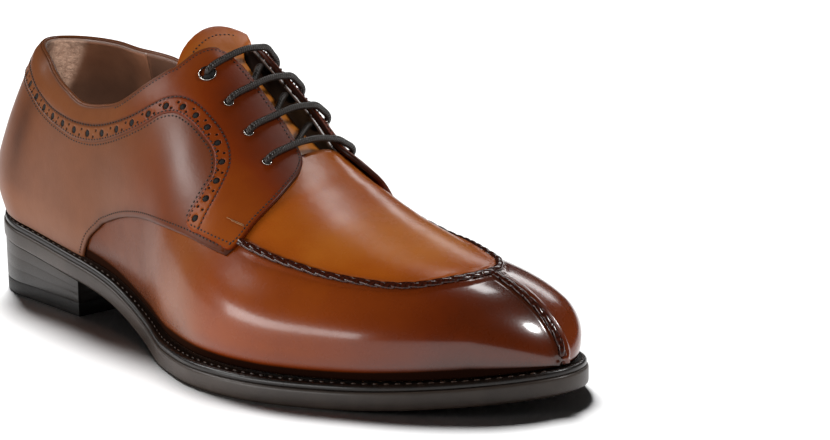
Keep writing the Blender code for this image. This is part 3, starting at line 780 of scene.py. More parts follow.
def waxed_cord(name, light, deep, roughness, strand_mm, relief):
    """Round braided cotton, waxed: slanting strands that shine on top. UV runs along and round the cord."""
    made, tree, shader, place = begin(name)
    along = add(tree, "ShaderNodeUVMap", uv_map="UVMap").outputs["UV"]
    strands = add(tree, "ShaderNodeTexWave", {
        "Vector": along, "Scale": 1.0, "Distortion": 0.6, "Detail": 2.0},
        wave_type="BANDS", bands_direction="DIAGONAL").outputs["Fac"]
    fuzz = add(tree, "ShaderNodeTexNoise", {"Vector": place, "Scale": per_metre(strand_mm), "Detail": 4.0})
    # Painted shade: the colour darkens in the grooves between strands, with a random fuzz
    shade = add(tree, "ShaderNodeMath", {
        0: strands, 1: 0.5, 2: fuzz.outputs["Fac"]}, operation="MULTIPLY_ADD")
    bump = add(tree, "ShaderNodeBump", {"Height": strands, "Strength": relief, "Distance": 0.0003})
    feed(shader, {
        "Base Color": ramp_of(tree, shade.outputs[0], [(0.35, deep), (0.95, light)]),
        "Normal": bump.outputs["Normal"],
        "Roughness": roughness,
    })
    return made


def worn_metal(name, light, deep, roughness):
    """Stamped brass ring, nickel plated: bright, with fine rubbed marks 0.8 mm wide."""
    made, tree, shader, place = begin(name)
    rub = add(tree, "ShaderNodeTexNoise", {
        "Vector": place, "Scale": per_metre(0.8), "Detail": 4.0}).outputs["Fac"]
    dull = add(tree, "ShaderNodeMapRange", {
        "Value": rub, "To Min": roughness - 0.08, "To Max": roughness + 0.08})
    feed(shader, {
        "Base Color": ramp_of(tree, rub, [(0.35, deep), (0.65, light)]),
        "Roughness": dull.outputs["Result"],
        "Metallic": 1.0,
    })
    return made


def pale_floor():
    """Seamless white paper, a little uneven over 60 mm."""
    made, tree, shader, place = begin("white_paper")
    fibre = add(tree, "ShaderNodeTexNoise", {"Vector": place, "Scale": per_metre(60), "Detail": 3.0})
    feed(shader, {
        "Base Color": ramp_of(tree, fibre.outputs["Fac"], [(0.3, "#F4F4F4"), (0.7, "#FBFBFB")]),
        "Roughness": 0.6,
        "Specular IOR Level": 0.2,
    })
    return made


# Dye from tan to nearly black, as stops of tone and colour
VAMP_TONES = [
    (0.0, "#CC7A2A"), (0.22, "#AE5614"), (0.45, "#8B3C0D"),
    (0.68, "#6C2808"), (0.86, "#451B08"), (1.0, "#1E0E08"),
]
QUARTER_TONES = [(0.0, "#A8703F"), (0.25, "#935A33"), (0.5, "#784526"), (0.75, "#4E2812"), (1.0, "#2A170F")]
FACING_TONES = [(0.0, "#AF6018"), (0.25, "#9A4A12"), (0.5, "#7C2F09"), (0.75, "#521D06"), (1.0, "#26120A")]

# Burnished calf of the upper and tongue. The vamp has the clearest gloss, the tongue the dullest.
vamp_calf = polished_calf("burnished_calf_vamp", VAMP_TONES, 0.27, 0.10, 0.18, 0.28, cooler=QUARTER_TONES)
quarter_calf = polished_calf(
    "burnished_calf_quarter", FACING_TONES, 0.40, 0.10, 0.32, 0.36, cooler=QUARTER_TONES)
facing_calf = polished_calf(
    "burnished_calf_facing", FACING_TONES, 0.36, 0.08, 0.24, 0.22, cooler=QUARTER_TONES)
tongue_calf = polished_calf("tan_calf_tongue", VAMP_TONES, 0.42, 0.05, 0.30, 0.30, 0.10)
# Vegetable-tanned calf of the lining and the sock: matt, with a soft grain
lining_calf = plain_leather("brown_lining_calf", "#5A3A2B", "#3D261B", 0.55, 14, 1.2, 0.15)
heel_lining = shoe_lining("lining_calf_and_heel_suede")
sock_leather = plain_leather("tan_sock_leather", "#8A6440", "#704E30", 0.55, 18, 1.2, 0.15)
# Sole leather, inked and waxed where it shows: nearly black, with a dull shine. Painted shade darkens the
# heel towards the ground.
welt_leather = plain_leather("waxed_welt_leather", "#1C110B", "#0F0905", 0.32, 6, 0.8, 0.15, 0.25, 0.35)
edge_leather = plain_leather("inked_sole_edge", "#443932", "#322923", 0.42, 22, 0.7, 0.12, 0.15, 0.4)
heel_leather = plain_leather(
    "inked_heel_lifts", "#40362F", "#2C2420", 0.42, 22, 0.7, 0.12, 0.15, 0.4, ground_shade_mm=26)
tread_leather = plain_leather("dark_sole_leather", "#3B2E26", "#2A201A", 0.55, 30, 1.4, 0.2)
# Moulded rubber of the top piece: black and matt
heel_rubber = plain_leather("heel_top_rubber", "#171412", "#0F0C0B", 0.55, 8, 0.6, 0.2, 0.0, 0.3)
# Waxed cord of the raised seams and of the lace
rope_cord = waxed_cord("waxed_seam_rope", "#431A0E", "#281009", 0.17, 0.6, 0.02)
lace_cord = waxed_cord("waxed_cotton_lace", "#30261F", "#120D0A", 0.38, 0.5, 0.5)
# Waxed linen threads, and painted shade: near black inside punched holes and eyelets
dark_thread = plain_leather("dark_waxed_thread", "#26150C", "#140A05", 0.5, 2, 0.4, 0.2)
pale_thread = plain_leather("tan_waxed_thread", "#B47A44", "#7E4A22", 0.45, 2, 0.4, 0.2)
welt_thread = plain_leather("brown_welt_thread", "#4A3426", "#2B1D14", 0.40, 2, 0.4, 0.2)
painted_hole_shade = plain_leather("painted_shade_in_the_holes", "#100905", "#070402", 0.8, 2, 0.5, 0.3)
bright_nickel = worn_metal("nickel_eyelet", "#D9D6D0", "#9A948C", 0.22)


# Lines on the upper that several pieces share
def own_side(line, side):
    """The line on one side. On the medial side the facing edge stands a little farther from the ridge."""
    moved = line.copy()
    if side == MEDIAL:
        nearest = np.clip((0.45 - line[:, 1]) / 0.35, 0, 1)
        moved[:, 1] += 0.068 * nearest * np.clip((line[:, 0] - 150) / 30, 0, 1)
    return moved


def apron_line(side, spacing):
    """The apron's seam, which runs nearer the ridge on the medial side, most of all at the toe."""
    line = rounded_path(APRON_LINE, spacing)
    if side == MEDIAL:
        line[:, 1] *= 0.92 - 0.32 * ease((line[:, 0] - 225) / 36)
    return line


def top_edge(side, end, spacing):
    """The collar and facing edge, from the back seam to a station near the foot of the facing."""
    x = SEAM_X + (end - HEEL_END) * np.linspace(0, 1, 900) ** 1.6
    return unflatten(evenly(flatten(np.stack([x, smooth(TOPLINE, NAMES[side], x)], 1)), spacing))


def up_the_seam(start, end, count):
    """Points up the back seam between two turns, without both ends."""
    return np.stack([np.full(count, SEAM_X), np.linspace(start, end, count + 2)[1:-1]], 1)


def collar_outline(side, spacing):
    top = top_edge(side, 181.0, spacing)
    border = own_side(rounded_path(COLLAR_EDGE, spacing), side)
    border[-1, 0] = SEAM_X
    low, high = border[-1, 1], top[0, 1]
    return np.concatenate([top, border, up_the_seam(low, high, int((low - high) * SIDE_MM / spacing))])


def quarter_outline(side, spacing):
    """The quarter runs a little way under the punched band and under the foot of the tab."""
    joint = own_side(shifted(rounded_path(COLLAR_EDGE, spacing, BORDER_ROW + 1), -UNDERLAP), side)
    strip = own_side(unflatten(evenly(flatten(np.concatenate([joint[:1], TAB_STRIP])), spacing)), side)
    lower = own_side(rounded_path(QUARTER_EDGE, spacing), side)
    joint[-1, 0] = SEAM_X
    foot = flatten(np.array([lower[-1], (SEAM_X, FEATHER_TURN)]))
    count = int(foot[-1, 1] - SIDE_MM * joint[-1, 1]) // 2
    foot = unflatten(evenly(foot, spacing))[1:]
    return np.concatenate([joint[:0:-1], strip, lower, foot, up_the_seam(FEATHER_TURN, joint[-1, 1], count)])


def band_lines(side):
    """Flat lower edge, middle and upper edge of the punched band, from the tab to the back."""
    edges = []
    for rows, start in ((COLLAR_EDGE, BORDER_ROW), (BAND_EDGE, 0)):
        flat = flatten(own_side(rounded_path(rows, 0.6, start), side))
        run = run_of(flat)
        edges.append(at_distances(flat, run, np.linspace(0, 1, 420) * run[-1]))
    low, up = edges
    return low, (low + up) / 2, up


def true_size(spot, side):
    """Matrix that takes a short flat step at a flat spot to its true size on the upper, in millimetres."""
    step = 0.2
    at = unflatten(np.array([(0, 0), (step, 0), (0, step)]) + spot)
    at = on_upper(at[:, 0], side, at[:, 1], COLLAR_HIGH)
    grown_by = (at[1:] - at[0]) / step
    sizes, ways = np.linalg.eigh(grown_by @ grown_by.T)
    return ways @ np.diag(np.sqrt(sizes)) @ ways.T


def punch_places(side):
    """Flat places, radii and true sizes of the border's holes: a large one, then two small ones."""
    low, middle, up = band_lines(side)
    spot = unflatten(middle)
    run = run_of(on_upper(spot[:, 0], side, spot[:, 1], COLLAR_HIGH))
    found = []
    for k, at in enumerate(np.arange(FIRST_PUNCH, run[-1] - 1.6, PUNCH_PITCH / 2)):
        # Closer together up the tab, wider apart down the slope behind it
        at -= 5.6 * hump(at, 80, 30) + 2.0 * hump(at, 28, 16)
        start, end = [at_distances(line, run, at) for line in (low, up)]
        large = k % 2 == 0
        for share in (0.5,) if large else PAIR_SHARES:
            spot = start + (end - start) * share
            found.append((spot, LARGE_HOLE if large else SMALL_HOLE, true_size(spot, side)))
    return found


# Panels: cut pieces of leather laid on the upper
def triangle_grid(low, up, spacing):
    across = np.arange(low[0], up[0], spacing)
    rows = [np.stack([across + (row % 2) * spacing / 2, np.full(len(across), y)], 1)
            for row, y in enumerate(np.arange(low[1], up[1], spacing * ROW_SHARE))]
    return np.concatenate(rows)


def edge_rings(line):
    """Rings of points that follow a closed flat line, for its turned edge."""
    ahead = np.roll(line, -1, 0) - np.roll(line, 1, 0)
    inward = unit(np.stack([-ahead[:, 1], ahead[:, 0]], 1))
    probe = len(line) // 3
    if not inside_of((line + 0.3 * inward)[probe:probe + 1], line)[0]:
        inward = -inward
    rings = []
    for depth in EDGE_DEPTHS:
        ring = line + depth * inward
        ring = ring[inside_of(ring, line)]
        rings.append(ring[distance_to(ring, line, True) > 0.9 * depth])
    return rings


def band_points(band, line):
    """Close points over the punched band of a panel, and beside the groove along its upper edge."""
    low, _, up = band
    fine = triangle_grid(np.minimum(low, up).min(0), np.maximum(low, up).max(0), 0.85)
    fine = fine[inside_of(fine, np.concatenate([low, up[::-1]]))]
    fine = fine[distance_to(fine, up) > 0.6]
    ahead = unit(np.gradient(up, axis=0))
    beside = np.stack([ahead[:, 1], -ahead[:, 0]], 1)
    fine = np.concatenate([fine] + [up + beside * gap for gap in (0, -0.7, -0.3, 0.3, 0.7)])
    fine = fine[inside_of(fine, line)]
    return fine[distance_to(fine, line, True) > EDGE_DEPTHS[-1] + 0.25]


def cut_sheet(line, inner, holes):
    """Flat points and triangles inside a closed line, with rings of points round its open holes."""
    angles = np.arange(HOLE_SIDES) * 2 * math.pi / HOLE_SIDES
    circle = np.stack([np.cos(angles), np.sin(angles)], 1)
    rings = (0, 0.13, 0.3)
    circles = []
    edges = [(i, (i + 1) % len(line)) for i in range(len(line))]
    for number, (spot, radius, true) in enumerate(holes):
        inner = inner[np.linalg.norm((inner - spot) @ true, axis=1) > radius + 0.55]
        circles += [spot + (radius + gap) * circle @ np.linalg.inv(true) for gap in rings]
        start = len(line) + len(rings) * number * HOLE_SIDES
        edges += [(start + i, start + (i + 1) % HOLE_SIDES) for i in range(HOLE_SIDES)]
    points = np.concatenate([line] + circles + [inner])
    found = delaunay_2d_cdt([tuple(p) for p in points], edges, [list(range(len(line)))], 1, 1e-6)
    flat = np.array([tuple(p) for p in found[0]])
    faces = np.array([list(f) for f in found[2]])
    centre = flat[faces].mean(1)
    punched = np.zeros(len(faces), bool)
    for spot, radius, true in holes:
        punched |= np.linalg.norm((centre - spot) @ true, axis=1) < 0.98 * radius
    return flat, faces[~punched].tolist()


def patch(spot, centre, size):
    """A soft patch on the upper, 1 in its middle. The size is its reach in stations and turns."""
    return np.exp(-((((spot - centre) / size) ** 2).sum(1)))


def laid_panel(name, outline, side, high, spacing, look, tone, rise=None, holes=(), thin=None, band=None):
    """A cut piece of leather laid on the upper, with a turned edge, and open where it is punched.

    thin is a line along which it is skived, band the flat lines of a punched band. rise, where there is one,
    lifts it off the upper.
    """
    line = flatten(outline)
    spots = triangle_grid(line.min(0), line.max(0), spacing)
    spots = spots[inside_of(spots, line)]
    rings = edge_rings(line)
    if band:
        rings.append(band_points(band, line))
        spots = spots[distance_to(spots, band[1]) > 4.2]
    spots = spots[distance_to(spots, line, True) > EDGE_DEPTHS[-1] + 0.4 * spacing]
    flat, faces = cut_sheet(line, np.concatenate(rings + [spots]), holes)
    spot = unflatten(flat)
    x, turn = spot.T
    depth = distance_to(flat, line, True)
    lift = high - EDGE_ROUND + np.sqrt(EDGE_ROUND**2 - np.clip(EDGE_ROUND - depth, 0, EDGE_ROUND) ** 2)
    tones, warm = tone(x, side, turn, depth)
    if thin is not None:
        lift -= 0.9 * (1 - ease(distance_to(flat, thin) / 5.0))
    if band:
        low, _, up = band
        from_groove = distance_to(flat, up)
        lift -= 0.22 * hump(from_groove, 0, 0.3)
        tones += 0.3 * hump(from_groove, 0, 0.4) - 0.03 * inside_of(flat, np.concatenate([low, up[::-1]]))
    for place, radius, true in holes:
        gap = np.linalg.norm((flat - place) @ true, axis=1) - radius
        lift -= 0.2 * np.clip(1 - gap / 0.25, 0, 1) ** 2 * (gap < 0.31)
    raised = rise(x, turn) if rise else 0 * x
    outer = on_upper(x, side, turn, lift + raised)
    inner = on_upper(x, side, turn, raised - 0.15)
    # Dark leather is polished most. A patch behind the facing shines, and the tab's middle is dull.
    wax = 0.6 * ease((tones - 0.6) / 0.4) - 0.3
    wax += 0.56 * patch(spot, (157, 0.55), (18, 0.10)) - 0.6 * patch(spot, (190, 0.62), (14, 0.10))
    return piece(name, np.concatenate([outer, inner]), two_faced(faces, len(flat)), [look], attributes={
        "tone": np.tile(tones, 2), "warm": np.tile(warm, 2), "wax": np.tile(wax, 2)})


# Burnish of each panel, 0 tan to 1 nearly black, and how warm its dye is. Cut edges are inked.
# Both functions take the same values. Only the quarter's tone differs by side: a painted dark reflection on
# the lateral heel.
def collar_tone(x, side, turn, depth):
    toward_facing = -0.07 * ease((x - 118) / 45)
    by_eyelets = 0.24 * ease((x - 138) / 20) * ease((0.42 - turn) / 0.2)
    pale_tab = -0.18 * ease((turn - 0.40) / 0.25) * ease((x - 165) / 15)
    edge_ink = 0.3 * np.exp(-depth / 0.5)
    return 0.47 + toward_facing + by_eyelets + pale_tab + edge_ink, ease((x - 100) / 50)


def quarter_tone(x, side, turn, depth):
    pale_back = -0.05 * ease((26 - x) / 20)
    pale_foot = -0.06 * ease((turn - 0.9) / 0.5)
    # Painted dark reflection: a stripe across the lateral heel
    painted_heel_reflection = 0.17 * hump(x, 34, 7) * hump(turn, 0.79, 0.17) * (side == LATERAL)
    edge_ink = 0.25 * np.exp(-depth / 1.2)
    return 0.53 + pale_back + pale_foot + painted_heel_reflection + edge_ink, 0.5 * ease((x - 100) / 60)


def medial_tab_off(x, turn):
    """The foot of the medial tab stands a little off the vamp."""
    return 1.3 * ease((x - 180) / 12) * ease((0.62 - turn) / 0.3)


# Quarters and collar pieces. Their flat outlines are kept, for what they hide of the vamp.
hidden = []
for side, name in NAMES.items():
    collar, quarter = collar_outline(side, 1.1), quarter_outline(side, 1.2)
    made = laid_panel("collar_piece_" + name, collar, side, COLLAR_HIGH, 1.7, facing_calf, collar_tone,
                      medial_tab_off if side == MEDIAL else None, punch_places(side),
                      flatten(top_edge(side, 140.0, 1.0)), band_lines(side))
    finished(made, "collar_leather", "collar_facing_" + name)
    made = laid_panel("quarter_piece_" + name, quarter, side, QUARTER_HIGH, 2.2, quarter_calf, quarter_tone)
    finished(made, "quarter_leather", "quarter_" + name)
    hidden += [(side, flatten(collar)), (side, flatten(quarter))]


# Vamp, lining and tongue: grids over the upper
def sheet_grid(stations, rows_of):
    """Stations, sides, turns and quads of a grid over the upper. rows_of gives the turns at a station.

    Points that both sides share count as lateral.
    """
    x, side_of, turn, quads = [], [], [], []
    for side in NAMES:
        start = len(x)
        rows = 0
        for station in stations:
            turns = rows_of(station, side)
            rows = len(turns)
            x += [station] * rows
            ends = station <= HEEL_END or station >= TOE_END
            side_of += [LATERAL if ends or t == 0 else side for t in turns]
            turn += list(turns)
        for i in range(len(stations) - 1):
            for j in range(rows - 1):
                a = start + i * rows + j
                loop = (a, a + rows, a + rows + 1, a + 1)
                quads.append(loop if side == LATERAL else loop[::-1])
    return np.array(x), np.array(side_of), np.array(turn), np.array(quads)


def shell_grid(count, more_stations, under, beside, over):
    """Grid of the whole upper, open at collar and throat, and the turn of its open edge at each point.

    The last three numbers count its rows: under the widest line, up to the edge, and on to the ridge.
    """
    def rows_of(station, side):
        edge = float(smooth(TOPLINE, NAMES[side], station))
        return np.concatenate([
            np.linspace(2, 1, under), np.linspace(1, edge, beside)[1:], np.linspace(edge, 0, over)[1:]])

    stations = [from_heel_to_toe(HEEL_END, TOE_END, count), more_stations, [THROAT_FRONT]]
    x, side_of, turn, quads = sheet_grid(np.unique(np.concatenate(stations)), rows_of)
    edge = np.where(side_of == LATERAL, smooth(TOPLINE, "lateral", x), smooth(TOPLINE, "medial", x))
    behind_throat = x[quads].max(1) <= THROAT_FRONT
    above_edge = turn[quads].min(1) < edge[quads].min(1) - 1e-6
    return x, side_of, turn, edge, quads[~(behind_throat & above_edge)]


def walled(outer, inner, quads):
    """Points and faces of a sheet with two faces, the points kept, and how many faces its front has."""
    _, first, index = np.unique(np.round(outer, 3), axis=0, return_index=True, return_inverse=True)
    loops = [list(dict.fromkeys(quad)) for quad in index.reshape(-1)[quads].tolist()]
    loops = [loop for loop in loops if len(loop) > 2]
    used = np.unique(np.concatenate(loops))
    number = np.full(len(first), -1)
    number[used] = np.arange(len(used))
    faces = [[int(number[i]) for i in loop] for loop in loops]
    kept = first[used]
    return np.concatenate([outer[kept], inner[kept]]), two_faced(faces, len(used)), kept, len(faces)


def vamp_tone(x, side, turn, from_apron, in_apron):
    """Burnish of the vamp: the sides darken toward the toe, the waist and the welt, and the apron is tan.
    Painted shade lies beside the apron's seam, and painted shade with a dark welt reflection where the foot
    tucks under.
    """
    toward_toe = 0.30 * ease((x - 228) / 62)
    toward_waist = 0.22 * ease((170 - x) / 35)
    toward_welt = 0.10 * ease((turn - 1.15) / 0.6)
    # Painted shade and a painted dark reflection of the welt, where the upper tucks under
    tuck_shade = 0.5 * ease((turn - 1.68) / 0.10)
    # Painted shade beside the apron's raised seam
    side_seam_shade = 0.12 * np.exp(-from_apron / 2.5)
    on_toe = ease((x - 268) / 14)
    own_toe = 0.04 - 0.14 * on_toe if side == MEDIAL else 0.05 * on_toe
    sides = 0.41 + toward_toe + toward_waist + toward_welt + tuck_shade + side_seam_shade + own_toe
    seam_shade = 0.16 * np.exp(-from_apron / 3.0)
    before_tongue = 0.08 * ease((228 - x) / 15)
    ahead = ease((x - 226) / 14)
    down_slope = (0.10 * ease((turn - 0.2) / 0.15) - 0.05) * ahead
    at_tip = 0.11 * ease((x - 244) / 24)
    apron = 0.14 + seam_shade + before_tongue + down_slope + at_tip
    return np.where(in_apron, apron, sides)


def vamp_wax(x, turn, tones, in_apron):
    """Polish of the vamp: sides and toe shine, and the more the darker. A streak runs along the side."""
    wax = np.clip((tones - 0.28) / 0.42, 0, 1) * (0.2 + 0.8 * ease((x - 135) / 50))
    spot = np.stack([x, turn], 1)
    wax += 0.5 * patch(spot, (212, 0.82), (22, 0.09)) - 1.2 * patch(spot, (190, 0.70), (16, 0.12))
    wax -= 0.4 * in_apron * ease((x - 222) / 16) + 0.7 * ease((172 - x) / 30)
    by_welt = ease((turn - 1.6) / 0.1)
    return wax * (1 - by_welt) - by_welt


def seam_distances(x, side_of, turn):
    """Each point's distance from the apron's seam and the split toe, and if it is on the apron."""
    flat = flatten(np.stack([x, turn], 1))
    from_apron, from_split = np.empty(len(x)), np.full(len(x), 99.0)
    in_apron = np.zeros(len(x), bool)
    split = last_point(np.linspace(APRON_TIP, TOE_END, 60), MEDIAL, 0.03)
    for side in NAMES:
        mine = side_of == side
        line = apron_line(side, 1.0)
        from_apron[mine] = distance_to(flat[mine], flatten(line))
        in_apron[mine] = turn[mine] < np.interp(x[mine], line[:, 0], line[:, 1], left=line[0, 1], right=-1.0)
        near_toe = mine & (x > APRON_TIP - 10.4)
        place = last_point(x[near_toe], side, turn[near_toe])
        from_split[near_toe] = [np.linalg.norm(split - p, axis=1).min() for p in place]
    return from_apron, from_split, in_apron


def vamp_lift(x, side_of, turn, from_apron, from_split, in_apron):
    """How far the vamp's outer face stands off the last."""
    # Both edges stand up beside the ropes, and a smooth lip runs along the medial side of the split toe
    beside_rope = 0.8 * hump(from_apron, 1.9, 0.8) - 0.3 * hump(from_apron, 0, 0.9)
    beside_split = 0.55 * hump(from_split, 1.9, 0.8)
    medial_lip = 1.0 * hump(from_split, 3.2, 0.9) * (side_of == MEDIAL) * ease((x - 272) / 5)
    # The apron is blocked a little fuller than the sides, and flexes in two shallow troughs before the tongue
    full = 0.7 * (1 - np.exp(-from_apron / 5.0)) * in_apron * ease((x - 196) / 10)
    troughs = hump(x, 207 + 8 * turn, 4.0) + 0.8 * hump(x, 219 + 10 * turn, 4.5)
    return beside_rope * ease((x - 198) / 9) + beside_split + medial_lip + full - 0.08 * troughs * in_apron


def vamp_shell():
    """The vamp, left out where the panels hide it."""
    x, side_of, turn, edge, quads = shell_grid(270, [], 15, 71, 15)
    flat = flatten(np.stack([x, turn], 1))
    covered = np.zeros(len(x), bool)
    for side, line in hidden:
        mine = np.flatnonzero(side_of == side)
        deep = inside_of(flat[mine], line)
        deep[deep] = distance_to(flat[mine[deep]], line, True) > 7.0
        covered[mine[deep]] = True
    quads = quads[~covered[quads].all(1)]
    from_apron, from_split, in_apron = seam_distances(x, side_of, turn)
    tones = np.empty(len(x))
    for side in NAMES:
        mine = side_of == side
        tones[mine] = vamp_tone(x[mine], side, turn[mine], from_apron[mine], in_apron[mine])
    # Painted shade in the groove at the split toe. Along the cut edge of the throat, ink and painted shade of
    # the gap under the facings.
    tones += 0.25 * np.exp(-from_split / 2.5)
    tones += 0.9 * np.exp(-np.abs(turn - edge) * SIDE_MM / 1.2) * (x < THROAT_FRONT + 1)
    warm = 0.35 + 0.65 * ease((x - 172) / 26)
    looks = {"tone": tones, "warm": warm, "wax": vamp_wax(x, turn, tones, in_apron)}
    lift = vamp_lift(x, side_of, turn, from_apron, from_split, in_apron)
    outer, inner = [both_sides(x, side_of, turn, lift - depth) for depth in (0, 0.8)]
    points, faces, kept, _ = walled(outer, inner, quads)
    return piece("vamp_shell", points, faces, [vamp_calf], attributes={
        key: np.tile(values[kept], 2) for key, values in looks.items()})


def lining_shell():
    """The lining, with a raised joint where the heel's suede ends."""
    near_joint = LINING_JOINT + np.array([-1.2, -0.6, -0.3, 0.0, 0.3, 0.6, 1.2])
    x, side_of, turn, edge, quads = shell_grid(130, near_joint, 6, 31, 7)
    joint = hump(x, LINING_JOINT, 0.4)
    outer = both_sides(x, side_of, turn, -0.2)
    inner = both_sides(x, side_of, turn, -WALL + 0.3 * joint - 0.25 * ease((LINING_JOINT - x) / 0.6))
    points, faces, kept, _ = walled(outer, inner, quads)
    # The suede ends along a soft line that slopes back as it goes down
    suede_end = 9.7 - 43 * (turn - 0.36)
    suede = ease((suede_end - flatten(np.stack([x, turn], 1))[:, 0]) / 7 + 0.5)
    # Painted shade down in the shoe and in the throat. The lining is also darker ahead of the joint, at the
    # joint and along the top edge.
    down = (0.75 - 0.35 * ease((x - 34) / 10)) * ease((turn - 0.38) / 0.3) * (1 - suede)
    ahead = 0.4 * ease((x - LINING_JOINT) / 2)
    at_edge = 0.85 * np.exp(-np.abs(turn - edge) * SIDE_MM / 0.8)
    deep = np.maximum.reduce([down + ahead, 0.8 * joint, at_edge, ease((x - 118) / 10)])
    return piece("lining", points, faces, [heel_lining], attributes={
        "suede": np.tile(suede[kept], 2), "deep": np.tile(deep[kept], 2)})


def on_tongue(x, signed, lift):
    """Place on the tongue, whose top stands broad and full before the medial facing.

    A signed turn is above 0 on the medial side.
    """
    side_of, turn = np.where(signed < 0, LATERAL, MEDIAL), np.abs(signed)
    near_top = ease((152 - x) / 22)
    broad = (side_of == MEDIAL) * near_top
    turn = turn * (1 + 0.12 * near_top + 0.25 * broad)
    clear_of_facing = ease((smooth(TOPLINE, "medial", x) + 0.01 - turn) / 0.07)
    bulge = 7.0 * broad * clear_of_facing * np.minimum(turn / 0.28, 1) ** 2
    middle = smooth(TONGUE_RISE, "lift", x) - TONGUE_THICK / 2 + bulge
    shut = np.where((side_of == MEDIAL)[:, None], throat_gape(x, MEDIAL, turn), 0.0)
    return both_sides(x, side_of, turn, middle + lift) - shut


def tongue_puff(x, signed):
    """How far the tongue's outer face is puffed near its top."""
    return 0.5 * hump(signed, 0, 0.2) * ease((x - 128) / 6) * ease((140 - x) / 8)


def tongue_sheet():
    """A soft sheet with a rounded rim, calf outside and lining calf inside."""
    across = 80
    top, foot = 125.45, 203.5
    stations = np.concatenate([
        top + 8 * np.linspace(0, 1, 16) ** 1.6, np.linspace(134, 196, 56), np.linspace(197, foot, 8)])
    reach = np.interp(stations, tongue_edge[:, 0], tongue_edge[:, 1])
    reach[0] = 0.10
    steps = np.sin(np.linspace(-1, 1, across + 1) * math.pi / 2)
    x = np.repeat(stations, across + 1)
    signed = (reach[:, None] * steps[None]).reshape(-1)
    from_side = (np.repeat(reach, across + 1) - np.abs(signed)) * SIDE_MM
    rim = np.minimum(from_side, np.minimum(x - top, foot - x))
    half = 0.5 * TONGUE_THICK * np.sqrt(np.clip(1 - (1 - np.clip(rim / 1.2, 0, 1)) ** 2, 0.03, 1))
    starts = (np.arange(len(stations) - 1)[:, None] * (across + 1) + np.arange(across)).reshape(-1, 1)
    quads = starts + (0, 1, across + 2, across + 1)
    outer, inner = on_tongue(x, signed, half + tongue_puff(x, signed)), on_tongue(x, signed, -half)
    points, faces, kept, fronts = walled(outer, inner, quads)
    tones = 0.14 + 0.28 * np.exp(-rim / 1.6) - 0.12 * ease((x - 134) / 8)
    which = [1 if fronts <= k < 2 * fronts else 0 for k in range(len(faces))]
    return piece("tongue_piece", points, faces, [tongue_calf, lining_calf], which=which, attributes={
        "tone": np.tile(tones[kept], 2)})


finished(vamp_shell(), "vamp_leather", "upper")
lining = lining_shell()
finished(lining, "insole_leather")
tongue_edge = rounded_path(TONGUE_EDGE, 1.0)
finished(tongue_sheet(), "tongue_leather", "tongue")


# Tubes: collar bead, ropes, lace
def tube(name, path, out, offsets, sides, look, uv_mm=(1.0, 1.0)):
    """A closed tube on a path. offsets gives its reach out and across for an angle and a distance along.

    UV runs once along in the first of the two sizes, and the second counts how often it runs round.
    """
    ahead = unit(np.gradient(path, axis=0))
    out = unit(out - ahead * (out * ahead).sum(1, keepdims=True))
    across = np.cross(ahead, out)
    run = run_of(path)
    angles = np.arange(sides) * 2 * math.pi / sides
    up, aside = offsets(angles[None, :], run[:, None])
    points = path[:, None] + out[:, None] * up[..., None] + across[:, None] * aside[..., None]
    points = np.concatenate([points.reshape(-1, 3), path[:1], path[-1:]])
    faces = hoops(len(path), sides)
    wall = len(faces)
    first, last, start = len(points) - 2, len(points) - 1, (len(path) - 1) * sides
    for j in range(sides):
        k = (j + 1) % sides
        faces += [(first, k, j), (last, start + j, start + k)]
    data = mesh_of(name, points, faces, [look])
    uv = np.zeros((len(data.loops), 2))
    rings, steps = np.divmod(np.arange(wall), sides)
    for corner, (ring, step) in enumerate(((0, 0), (0, 1), (1, 1), (1, 0))):
        uv[corner:4 * wall:4, 0] = run[rings + ring] / uv_mm[0]
        uv[corner:4 * wall:4, 1] = (steps + step) / sides * uv_mm[1]
    data.uv_layers.new(name="UVMap").data.foreach_set("uv", uv.reshape(-1).astype(np.float32))
    turn_outward(data)
    return linked(name, data)


def round_cord(high, wide):
    return lambda angle, run: (high * np.cos(angle) + 0 * run, wide * np.sin(angle) + 0 * run)


def laid_rope(angle, run):
    """Half-sunk rope of two laid strands."""
    lobe = 0.8 + 0.3 * np.abs(np.sin(angle - 2 * math.pi * run / ROPE_PITCH)) ** 0.6
    return 0.5 * ROPE_RISE * lobe * np.cos(angle), 0.5 * ROPE_WIDTH * lobe * np.sin(angle)


def seam_path(spots, lift):
    path = np.array([on_upper(x, side, turn, lift) for x, side, turn in spots])
    out = np.array([last_normal(x, side, turn) for x, side, turn in spots])
    return path, out


near, far = apron_line(LATERAL, 0.35), apron_line(MEDIAL, 0.35)
apron_spots = [(x, LATERAL, turn) for x, turn in near] + [(x, MEDIAL, turn) for x, turn in far[-2::-1]]
rope = tube("apron_rope", *seam_path(apron_spots, 0.9), laid_rope, 28, rope_cord, (3.0, 1.0))
finished(rope, "seam_cord", "apron_seam")
TOE_ROPE_START, TOE_ROPE_END = 273.6, 301.2
toe_run = TOE_ROPE_END - (TOE_ROPE_END - TOE_ROPE_START) * np.linspace(1, 0, 120) ** 1.7
toe_spots = [(x, MEDIAL, 0.02) for x in toe_run]
rope = tube("toe_rope", *seam_path(toe_spots, 0.8), laid_rope, 28, rope_cord, (3.0, 1.0))
finished(rope, "seam_cord", "toe_seam")

# Bead where the collar's leather is turned over the lining
sides_of_bead = [[(x, side, turn) for x, turn in top_edge(side, 137.5, 1.0)] for side in NAMES]
bead_spots = sides_of_bead[0][::-1] + sides_of_bead[1][1:]
bead = tube("collar_bead", *seam_path(bead_spots, -0.15), round_cord(0.85, 0.8), 12, facing_calf)
mark(bead.data, "tone", np.full(len(bead.data.vertices), 0.55))
finished(bead, "collar_leather")


